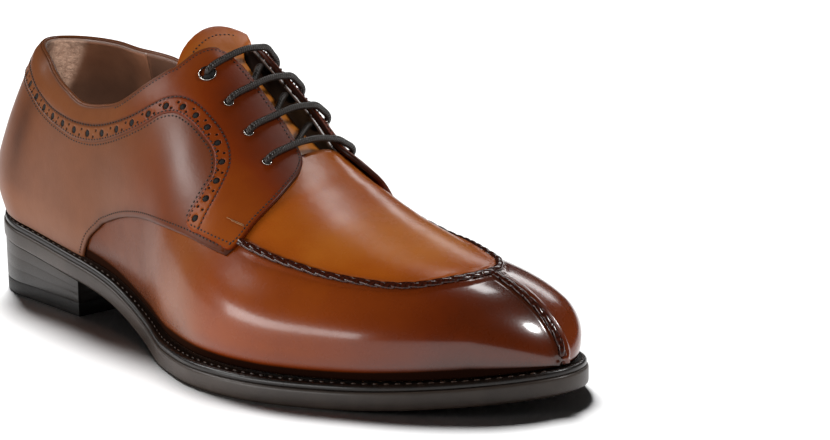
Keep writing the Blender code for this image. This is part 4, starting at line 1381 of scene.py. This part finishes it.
# Sole unit
def outline_of(x, back, inset, heel_end, toe_end):
    """Outline of the sole drawn in by an inset: out along lateral stations x, back along medial ones."""
    lines = []
    for side, run in ((LATERAL, x), (MEDIAL, back)):
        drawn_in = inset(run) if callable(inset) else inset
        y = axis_y(run) + side * half_width(run, side, drawn_in, heel_end, toe_end)
        lines.append(np.stack([run, y], 1))
    return np.concatenate(lines)


def sole_ring(inset, heel_end, toe_end, count):
    """Closed outline of the sole, with count points along each side."""
    x = from_heel_to_toe(heel_end, SOLE_LENGTH - toe_end, count)
    return outline_of(x, x[-2:0:-1], inset, heel_end, toe_end)


def at_height(ring, height):
    return np.column_stack([ring, sole_bottom(ring[:, 0]) + height])


def across_ring(start, count, total):
    """Quads between the two sides of a ring that starts at a point number, with no corner twice."""
    corners = [(i, i + 1, (total - i - 1) % total, (total - i) % total) for i in range(count - 1)]
    return [tuple(dict.fromkeys(start + corner for corner in loop)) for loop in corners]


def stacked(name, rings, count, looks, look_of=lambda ring: 0):
    """A solid through rings with count points on their first side, closed across its first and last ring."""
    total = len(rings[0])
    faces = hoops(len(rings), total)
    which = [look_of(k // total) for k in range(len(faces))]
    first = across_ring(0, count, total)
    last = across_ring((len(rings) - 1) * total, count, total)
    which += [look_of(-1)] * len(first) + [look_of(len(rings))] * len(last)
    return piece(name, np.concatenate(rings), faces + [f[::-1] for f in first] + last, looks, which=which)


def leather_outsole():
    """Tread with its closed channel, rounded edge, and the top under the welt, by insets and heights."""
    count = 150
    profile = [(6.2, 0.0), (5.6, 0.0), (5.2, 0.25), (4.8, 0.0), (1.2, 0.0), (0.5, 0.15),
               (0.12, 0.6), (0.0, 1.3), (0.0, 5.7), (0.12, 6.4), (0.45, 6.85), (1.0, OUTSOLE_THICK)]
    rings = [at_height(sole_ring(inset, inset, inset, count), height) for inset, height in profile]
    tread_rings = 4
    made = stacked("outsole_leather", rings, count, [edge_leather, tread_leather],
                   lambda ring: int(ring < tread_rings))
    sharpen(made, 50)
    return made


def welt_strip():
    """Wheeled on top, rounded at the rim, by shares of the way inward, heights, and where the wheel ran."""
    count = 420
    profile = [(1.0, 0.0, 0), (0.0, 0.0, 0), (-0.02, 0.5, 0), (-0.02, 1.6, 0), (0.03, 2.2, 0), (0.09, 2.5, 1),
               (0.2, 2.6, 1), (0.32, 2.55, 1), (0.42, 2.45, 0), (0.6, 2.6, 0), (1.0, 2.6, 0)]
    rim = sole_ring(WELT_INSET, WELT_INSET, WELT_INSET, count)
    ledge = sole_ring(lambda x: smooth(FEATHER, "inset", x) + WELT_LEDGE, HEEL_END + WELT_LEDGE,
                      SOLE_LENGTH - TOE_END + WELT_LEDGE, count)
    wheel = 0.16 * np.abs(np.sin(math.pi * run_of(rim) / WHEEL_PITCH))
    rings = [at_height(rim + (ledge - rim) * inward, OUTSOLE_THICK + height - wheeled * wheel)
             for inward, height, wheeled in profile]
    faces = hoops(len(rings), len(rim), closed=True)
    return piece("welt_strip", np.concatenate(rings), faces, [welt_leather])


def sock_insole():
    """Insole with the sock over it: insets and heights."""
    count = 110
    gap = WELT_LEDGE + GAP
    rings = []
    for inset, height in ((0, 0), (0, 2.1), (0.5, INSOLE_THICK), (6, INSOLE_THICK + 0.1)):
        ring = sole_ring(lambda x: smooth(FEATHER, "inset", x) + gap + inset, HEEL_END + gap + inset,
                         SOLE_LENGTH - TOE_END + gap + inset, count)
        rings.append(at_height(ring, OUTSOLE_THICK + GAP + height))
    return stacked("sock_insole", rings, count, [sock_leather])


def heel_block(name, profile, look):
    """A slice of the heel, round at the back and straight at the breast. Heights are functions of x."""
    count = 60
    rings = []
    for inset, height in profile:
        drawn_in = HEEL_INSET + inset
        x = drawn_in + (HEEL_BREAST - drawn_in - inset) * (1 - np.cos(np.linspace(0, math.pi / 2, count)))
        ring = outline_of(x, x[:0:-1], drawn_in, drawn_in, 0)
        rings.append(np.column_stack([ring, height(ring[:, 0])]))
    made = stacked(name, rings, count, [look])
    sharpen(made, 40)
    return made


def level(height):
    return lambda x: height + 0 * x


def toward_seat(share):
    """Height at a share of the way from the top piece to the seat."""
    base = TOP_PIECE_THICK + 0.1
    return lambda x: base + share * (sole_bottom(x) - 0.1 - base)


finished(leather_outsole(), "sole_edge", "outsole")
finished(welt_strip(), "welt_leather", "welt")
sock = sock_insole()
finished(sock, "insole_leather", "insole")
TIP_PROFILE = [(0.7, 0.0), (0.2, 0.35), (0.05, 0.9), (0.05, 5.2), (0.25, 5.8), (0.5, TOP_PIECE_THICK)]
tip = heel_block("heel_tip", [(inset, level(height)) for inset, height in TIP_PROFILE], heel_rubber)
finished(tip, "top_piece_rubber", "heel_top_piece")
LIFTS = 3
LIFT_PROFILE = ((0.08, 0.0), (0.02, 0.03), (0.0, 0.30), (0.05, 0.325))
lifts = [(inset, toward_seat(k / LIFTS + share)) for k in range(LIFTS) for inset, share in LIFT_PROFILE]
stack = heel_block("heel_lifts", lifts + [(0.3, toward_seat(1.0))], heel_leather)
finished(stack, "sole_edge", "heel_stack")


# Eyelets and lace
OVER = COLLAR_HIGH + LACE_RADIUS + 0.25
BEND_OVER = OVER + 0.3
ARCH = 1.2
UNDER = -(WALL + GAP + LACE_RADIUS)
ROWS = range(len(EYELETS["station"]))


def eyelet_of(side, row):
    return EYELETS["station"][row], side, EYELETS[NAMES[side]][row]


eyelets = {(side, row): (last_point(*eyelet_of(side, row)), last_normal(*eyelet_of(side, row)))
           for side in NAMES for row in ROWS}


def between(start, end, count):
    """Stations, sides and turns on the way from one eyelet to another over the ridge."""
    (x0, side0, turn0), (x1, side1, turn1) = start, end
    t = np.linspace(0, 1, count)
    signed = turn0 * side0 + (turn1 * side1 - turn0 * side0) * t
    return [(x, LATERAL if s < 0 else MEDIAL, abs(s)) for x, s in zip(x0 + (x1 - x0) * t, signed)]


def bend(eyelet, toward, top):
    """Quarter turn from the eyelet's own direction into the run over or under the facing."""
    centre, out = eyelets[eyelet]
    way = toward - centre
    way = unit(way - out * way.dot(out))
    sign = 1 if top else -1
    start = (BEND_OVER if top else UNDER) - sign * LACE_BEND
    turned = []
    for angle in np.radians([0, 30, 60, 90]):
        aside, up = LACE_BEND * (1 - math.cos(angle)), sign * LACE_BEND * math.sin(angle)
        turned.append(centre + way * aside + out * (start + up))
    return turned


def lace_run(start, end, top):
    """A bar over the facings, a little arched, or a slanting run under them."""
    spots = between(eyelet_of(*start), eyelet_of(*end), 13 if top else 9)[2:-2]
    run = [on_upper(x, side, turn, OVER if top else UNDER) for x, side, turn in spots]
    if top:
        arch = [run[1] + (run[-2] - run[1]) * t + (0, 0, ARCH * math.sin(math.pi * t))
                for t in (0.25, 0.5, 0.75)]
        run = run[:2] + arch + run[-2:]
    return bend(start, run[0], top) + run + bend(end, run[-1], top)[::-1]


def lace():
    knots = []
    for row in ROWS:
        knots += lace_run((LATERAL, row), (MEDIAL, row), True)
        if row < ROWS[-1]:
            knots += lace_run((MEDIAL, row), (LATERAL, row + 1), False)
    knots = np.array(knots)
    path = smooth_line(knots, int(run_of(knots)[-1] / 0.6))
    for _ in range(3):
        path[1:-1] = (path[:-2] + 2 * path[1:-1] + path[2:]) / 4
    side_way = np.tile((1.0, 0.0, 0.3), (len(path), 1))
    return tube("lace_cord", path, side_way, round_cord(LACE_RADIUS, LACE_RADIUS), 14, lace_cord, (1.6, 2.0))


def turned_ring(name, eyelet, profile, look):
    """A ring turned from (radius, lift) points about an eyelet's own axis."""
    centre, out = eyelets[eyelet]
    aside = unit(np.cross(out, (1.0, 0.0, 0.0)))
    forward = np.cross(aside, out)
    sides = 28
    points = [centre + out * lift + radius * (forward * math.cos(a) + aside * math.sin(a))
              for radius, lift in profile for a in np.arange(sides) * 2 * math.pi / sides]
    return piece(name, points, hoops(len(profile), sides, closed=True), [look])


def ring_profile(inner, outer, rise):
    """Rolled flange, domed on top, with a short barrel down the hole."""
    low, high, barrel = COLLAR_HIGH, COLLAR_HIGH + rise, -1.4
    middle, half = (inner + outer) / 2, (outer - inner) / 2
    dome = [(middle - half * math.cos(a), high - 0.7 * rise * (1 - math.sin(a)))
            for a in np.linspace(0.2, math.pi, 9)]
    back = [(outer, low - 0.1), (inner + 0.25, low - 0.1), (inner + 0.25, barrel)]
    return [(inner, barrel), (inner, low - 0.4)] + dome + back


finished(lace(), "lace_cord", "lace")
TOP_EYELET, LOWER_EYELET = (2.9, 3.6, 0.7), (1.5, 1.95, 0.5)
for side, row in eyelets:
    name = f"{NAMES[side]}_{row + 1}"
    shape = ring_profile(*(TOP_EYELET if row == 0 else LOWER_EYELET))
    made = turned_ring("eyelet_ring_" + name, (side, row), shape, bright_nickel)
    finished(made, "eyelet_metal", "eyelet_" + name)


# Threads and punched holes: Geometry Nodes set one on each point
def tree_with(name, inputs):
    tree = bpy.data.node_groups.new(name, "GeometryNodeTree")
    tree.interface.new_socket("Places", in_out="INPUT", socket_type="NodeSocketGeometry")
    for label, kind in inputs.items():
        tree.interface.new_socket(label, in_out="INPUT", socket_type="NodeSocket" + kind)
    tree.interface.new_socket("Geometry", in_out="OUTPUT", socket_type="NodeSocketGeometry")
    return tree, add(tree, "NodeGroupInput").outputs


def turned_to_leather(tree):
    """Rotation of a point: X along its row, Z out of the leather."""
    along, out = [add(tree, "GeometryNodeInputNamedAttribute", {"Name": key}, data_type="FLOAT_VECTOR")
                  for key in ("along", "out")]
    first = add(tree, "FunctionNodeAlignRotationToVector", {"Vector": along.outputs["Attribute"]}, axis="X")
    second = add(tree, "FunctionNodeAlignRotationToVector", {
        "Rotation": first.outputs["Rotation"], "Vector": out.outputs["Attribute"]}, axis="Z", pivot_axis="X")
    return second.outputs["Rotation"]


def set_out(tree, places, shape, size, look):
    """One copy of a shape on each place, realized and dressed."""
    scale = add(tree, "ShaderNodeCombineXYZ", dict(zip("XYZ", size)))
    placed = add(tree, "GeometryNodeInstanceOnPoints", {
        "Points": places, "Instance": shape,
        "Rotation": turned_to_leather(tree), "Scale": scale.outputs["Vector"]})
    real = add(tree, "GeometryNodeRealizeInstances", {"Geometry": placed.outputs["Instances"]})
    dressed = add(tree, "GeometryNodeSetMaterial", {"Geometry": real.outputs["Geometry"], "Material": look})
    add(tree, "NodeGroupOutput", {"Geometry": dressed.outputs["Geometry"]})


def stitch_tree():
    """A rounded thread on each point, lying along its row."""
    tree, given = tree_with("stitch_row", {
        "Length": "Float", "Width": "Float", "Height": "Float", "Thread": "Material"})
    thread = add(tree, "GeometryNodeMeshUVSphere", {"Segments": 8, "Rings": 5, "Radius": 0.5})
    size = given["Length"], given["Width"], given["Height"]
    set_out(tree, given["Places"], thread.outputs["Mesh"], size, given["Thread"])
    return tree


def punch_tree():
    """The wall and floor of a punched hole under each point, as wide as the point's own radius, dressed in
    painted shade.
    """
    tree, given = tree_with("punched_hole", {"Depth": "Float", "Hole shade": "Material"})
    wall = add(tree, "GeometryNodeMeshCylinder", {
        "Vertices": HOLE_SIDES, "Radius": 1.0, "Depth": 1.0}, fill_type="NGON")
    sunk = add(tree, "GeometryNodeTransform", {"Geometry": wall.outputs["Mesh"], "Translation": (0, 0, -0.5)})
    own = add(tree, "GeometryNodeInputNamedAttribute", {"Name": "radius"}, data_type="FLOAT")
    size = own.outputs["Attribute"], own.outputs["Attribute"], given["Depth"]
    set_out(tree, given["Places"], sunk.outputs["Geometry"], size, given["Hole shade"])
    return tree


def grown(name, tree, rows, values, radii=None):
    """The tree's result on rows of places, as a plain mesh piece. Sizes in values are in metres."""
    at, along, out = [np.concatenate(part) for part in zip(*rows)]
    data = mesh_of(name, at, [])
    for key, vectors in (("along", along), ("out", out)):
        data.attributes.new(key, "FLOAT_VECTOR", "POINT").data.foreach_set(
            "vector", np.asarray(vectors, np.float32).reshape(-1))
    if radii is not None:
        mark(data, "radius", radii / 1000)
    made = linked(name, data)
    modifier = made.modifiers.new(name, "NODES")
    modifier.node_group = tree
    for item in tree.interface.items_tree:
        if item.in_out == "INPUT" and item.name in values:
            modifier[item.identifier] = values[item.name]
    graph = bpy.context.evaluated_depsgraph_get()
    result = bpy.data.meshes.new_from_object(made.evaluated_get(graph), depsgraph=graph)
    made.modifiers.remove(modifier)
    made.data = result
    result.shade_smooth()
    return made


def spaced_out(path, out, pitch, skip=0.0):
    """Places every pitch along a path, with the way along it and the way out of the leather."""
    run = run_of(path)
    at = np.arange(skip + pitch / 2, run[-1] - skip, pitch)
    place = at_distances(path, run, at)
    return place, unit(at_distances(path, run, at + 0.4) - place), at_distances(out, run, at)


def row_places(line, side, lift, pitch, aside=0.0, skip=0.0):
    """Stitch places beside a station and turn line, aside to the right of it in true millimetres."""
    x, turn = line.T
    path, out = on_upper(x, side, turn, lift), last_normal(x, side, turn)
    ahead = unit(np.gradient(path, axis=0))
    return spaced_out(path + aside * side * np.cross(ahead, out), out, pitch, skip)


def upper_rows(side):
    """Rows of dark thread on one side: line, height, pitch, distance aside and what both ends leave out."""
    stretches = [(COLLAR_EDGE, BORDER_ROW, None), (COLLAR_EDGE, 0, TAB_ROWS),
                 (COLLAR_EDGE, TAB_ROWS - 1, BORDER_ROW), (BAND_EDGE, 0, None), (QUARTER_EDGE, 0, None)]
    border, tab, foot, band_top, lower = [
        own_side(rounded_path(rows, 0.7, start, end), side) for rows, start, end in stretches]
    facing, collar = top_edge(side, 184.0, 0.7), top_edge(side, 140.0, 0.7)
    return [row_places(line, side, *row) for line, *row in (
        (border, COLLAR_HIGH, 1.9, -1.1),
        (border, QUARTER_HIGH, 1.9, 1.0, 2.0),
        (band_top, COLLAR_HIGH - 0.1, 1.9, 0.0, 1.0),
        (lower, QUARTER_HIGH, 1.9, -2.4, 0.5),
        (tab, COLLAR_HIGH, 1.6, -1.4),
        (foot, COLLAR_HIGH, 1.9, -1.8),
        (facing[facing[:, 0] > 141], COLLAR_HIGH, 1.9, -2.2),
        (collar[collar[:, 0] > 104], COLLAR_HIGH - 0.8, 1.6, -1.6),
    )]


def tongue_row():
    """Row along the top of the tongue, which the lace hides on the medial side."""
    near_top = tongue_edge[tongue_edge[:, 0] < 132]
    near_top = np.concatenate([near_top[:0:-1] * (1, -1), near_top])
    near_top = near_top[near_top[:, 1] < 0.16]
    x, signed = 140 - 0.72 * (140 - near_top[:, 0]), 0.84 * near_top[:, 1]
    face = TONGUE_THICK / 2 + tongue_puff(x, signed)
    path = on_tongue(x, signed, face)
    return spaced_out(path, on_tongue(x, signed, face + 1.0) - path, 1.9)


def welt_row(side):
    """Stitches halfway out on the welt."""
    x = from_heel_to_toe(WELT_INSET + 2, SOLE_LENGTH - WELT_INSET - 2, 700)
    inset = WELT_INSET + 0.5 * (smooth(FEATHER, "inset", x) - WELT_INSET)
    y = axis_y(x) + side * half_width(x, side, inset, WELT_INSET + 1, WELT_INSET + 1)
    line = np.stack([x, y, sole_bottom(x) + OUTSOLE_THICK + WELT_THICK - 0.02], 1)
    return spaced_out(line, np.tile((0.0, 0.0, 1.0), (len(line), 1)), SOLE_STITCH)


def hole_row(holes, side):
    x, turn = unflatten(np.array([at for at, _, _ in holes])).T
    place = on_upper(x, side, turn, COLLAR_HIGH - 0.35)
    return place, unit(on_upper(x + 0.5, side, turn, COLLAR_HIGH - 0.35) - place), last_normal(x, side, turn)


stitches = stitch_tree()
dark_rows = upper_rows(LATERAL) + upper_rows(MEDIAL) + [tongue_row()]
made = grown("upper_stitches", stitches, dark_rows, {
    "Length": 0.00105, "Width": 0.00068, "Height": 0.0005, "Thread": dark_thread})
finished(made, "seam_cord")
# Bar tack at the corner of the lateral tab: two threads, each sewn over and over
TACKS = [((187.5, 0.540), (195.5, 0.514)), ((189.8, 0.536), (196.1, 0.517))]
tack_rows = [row_places(np.linspace(*ends, 20), LATERAL, COLLAR_HIGH + 0.05, 0.9) for ends in TACKS]
made = grown("bar_tack", stitches, tack_rows, {
    "Length": 0.0013, "Width": 0.0004, "Height": 0.0005, "Thread": pale_thread})
finished(made, "seam_cord")
made = grown("welt_stitches", stitches, [welt_row(side) for side in NAMES], {
    "Length": 0.0022, "Width": 0.0007, "Height": 0.0006, "Thread": welt_thread})
finished(made, "welt_leather")

hole_rows, radii = [], []
for side in NAMES:
    holes = punch_places(side)
    hole_rows.append(hole_row(holes, side))
    radii += [radius for _, radius, _ in holes]
# The lace leaves each eyelet through a near-black disc: painted shade in the hole
for (side, row), (centre, out) in eyelets.items():
    hole_rows.append((centre[None] + out * (COLLAR_HIGH + 0.28), np.array([(1.0, 0.0, 0.0)]), out[None]))
    radii.append(2.85 if row == 0 else 1.5)
made = grown("punched_hole_floors", punch_tree(), hole_rows, {"Depth": 0.0012, "Hole shade": painted_hole_shade},
             np.array(radii) + 0.03)
finished(made, "collar_leather")


# Floor, light and camera
FLOOR_HALF = 6.0
corners = [(x * FLOOR_HALF, y * FLOOR_HALF, 0) for x, y in ((-1, -1), (1, -1), (1, 1), (-1, 1))]
data = bpy.data.meshes.new("floor")
data.from_pydata(corners, [], [(0, 1, 2, 3)])
data.materials.append(pale_floor())
floor = linked("floor", data)


def pointing(place, target, roll=0.0):
    """World matrix of a lamp or camera at a place that looks at a target."""
    back = unit(np.array(place, float) - np.array(target, float))
    right = unit(np.cross((0.0, 0.0, 1.0), back))
    up = np.cross(back, right)
    turned = right * math.cos(roll) + up * math.sin(roll)
    up = up * math.cos(roll) - right * math.sin(roll)
    return Matrix([[turned[i], up[i], back[i], place[i]] for i in range(3)] + [[0, 0, 0, 1]])


def softbox(name, place, target, width, height, watts, lights, shape="RECTANGLE"):
    """A soft lamp that lights one collection of objects. Sizes are in metres."""
    lamp = bpy.data.lights.new(name, "AREA")
    lamp.shape = shape
    lamp.size = width
    lamp.size_y = height
    lamp.energy = watts
    made = linked(name, lamp)
    made.matrix_world = pointing(place, target)
    made.light_linking.receiver_collection = lights


def group_of(name, members):
    group = bpy.data.collections.new(name)
    for made in members:
        group.objects.link(made)
    return group


# A bank behind and above lights the paper alone, so that it stays white and takes a soft contact shadow.
# The other lamps light the shoe alone, and the last of them only its inside.
paper = group_of("paper", [floor])
shoe = group_of("shoe", [made for made in bpy.context.scene.objects if made.type == "MESH" and made != floor])
inside = group_of("inside", [lining, sock])
softbox("paper_bank", (-1.95, 1.10, 3.55), (0.0, 0.0, 0.0), 1.0, 1.0, 265, paper)
softbox("behind_high", (-0.13, 0.56, 1.09), (0.08, 0.0, 0.05), 0.4, 0.2, 2.1, shoe)
softbox("behind_low", (-0.38, 1.10, 0.66), (0.10, 0.0, 0.05), 0.7, 0.2, 1.7, shoe)
softbox("high_left", (-0.87, -0.68, 0.83), (0.0, 0.0, 0.06), 0.75, 0.4, 7.0, shoe)
softbox("low_left", (-0.20, -1.16, 0.16), (0.07, -0.03, 0.05), 1.1, 0.22, 6.0, shoe)
softbox("toe_side", (0.83, 0.58, 0.87), (0.14, 0.0, 0.03), 0.26, 0.26, 7, shoe, "DISK")
softbox("into_the_shoe", (0.25, -0.35, 0.75), (-0.11, 0.0, 0.08), 0.4, 0.4, 26, inside)

world = bpy.data.worlds.new("studio")
bpy.context.scene.world = world
world.use_nodes = True
feed(world.node_tree.nodes["Background"], {"Color": colour("#F2F4F6"), "Strength": 0.012})

# Camera as fitted to the photograph: angles in degrees, distances in millimetres, focal length in pixels
AZIMUTH, ELEVATION, ROLL = [math.radians(angle) for angle in (46.71, 12.92, -0.74)]
DISTANCE, FOCAL_PX, FRAME_PX = 966.67, 2406.68, 830
AIM = to_scene((175.9, 62.82, 40.0))
level_way = np.array([math.sin(AZIMUTH), -math.cos(AZIMUTH), 0.0]) * math.cos(ELEVATION)
back = level_way + (0.0, 0.0, math.sin(ELEVATION))
lens = bpy.data.cameras.new("camera")
lens.sensor_width = 36.0
lens.lens = FOCAL_PX / FRAME_PX * lens.sensor_width
lens.clip_start = 0.05
camera = linked("camera", lens)
camera.matrix_world = pointing(AIM + back * DISTANCE / 1000, AIM, ROLL)
bpy.context.scene.camera = camera
bpy.context.scene.view_settings.view_transform = "Standard"
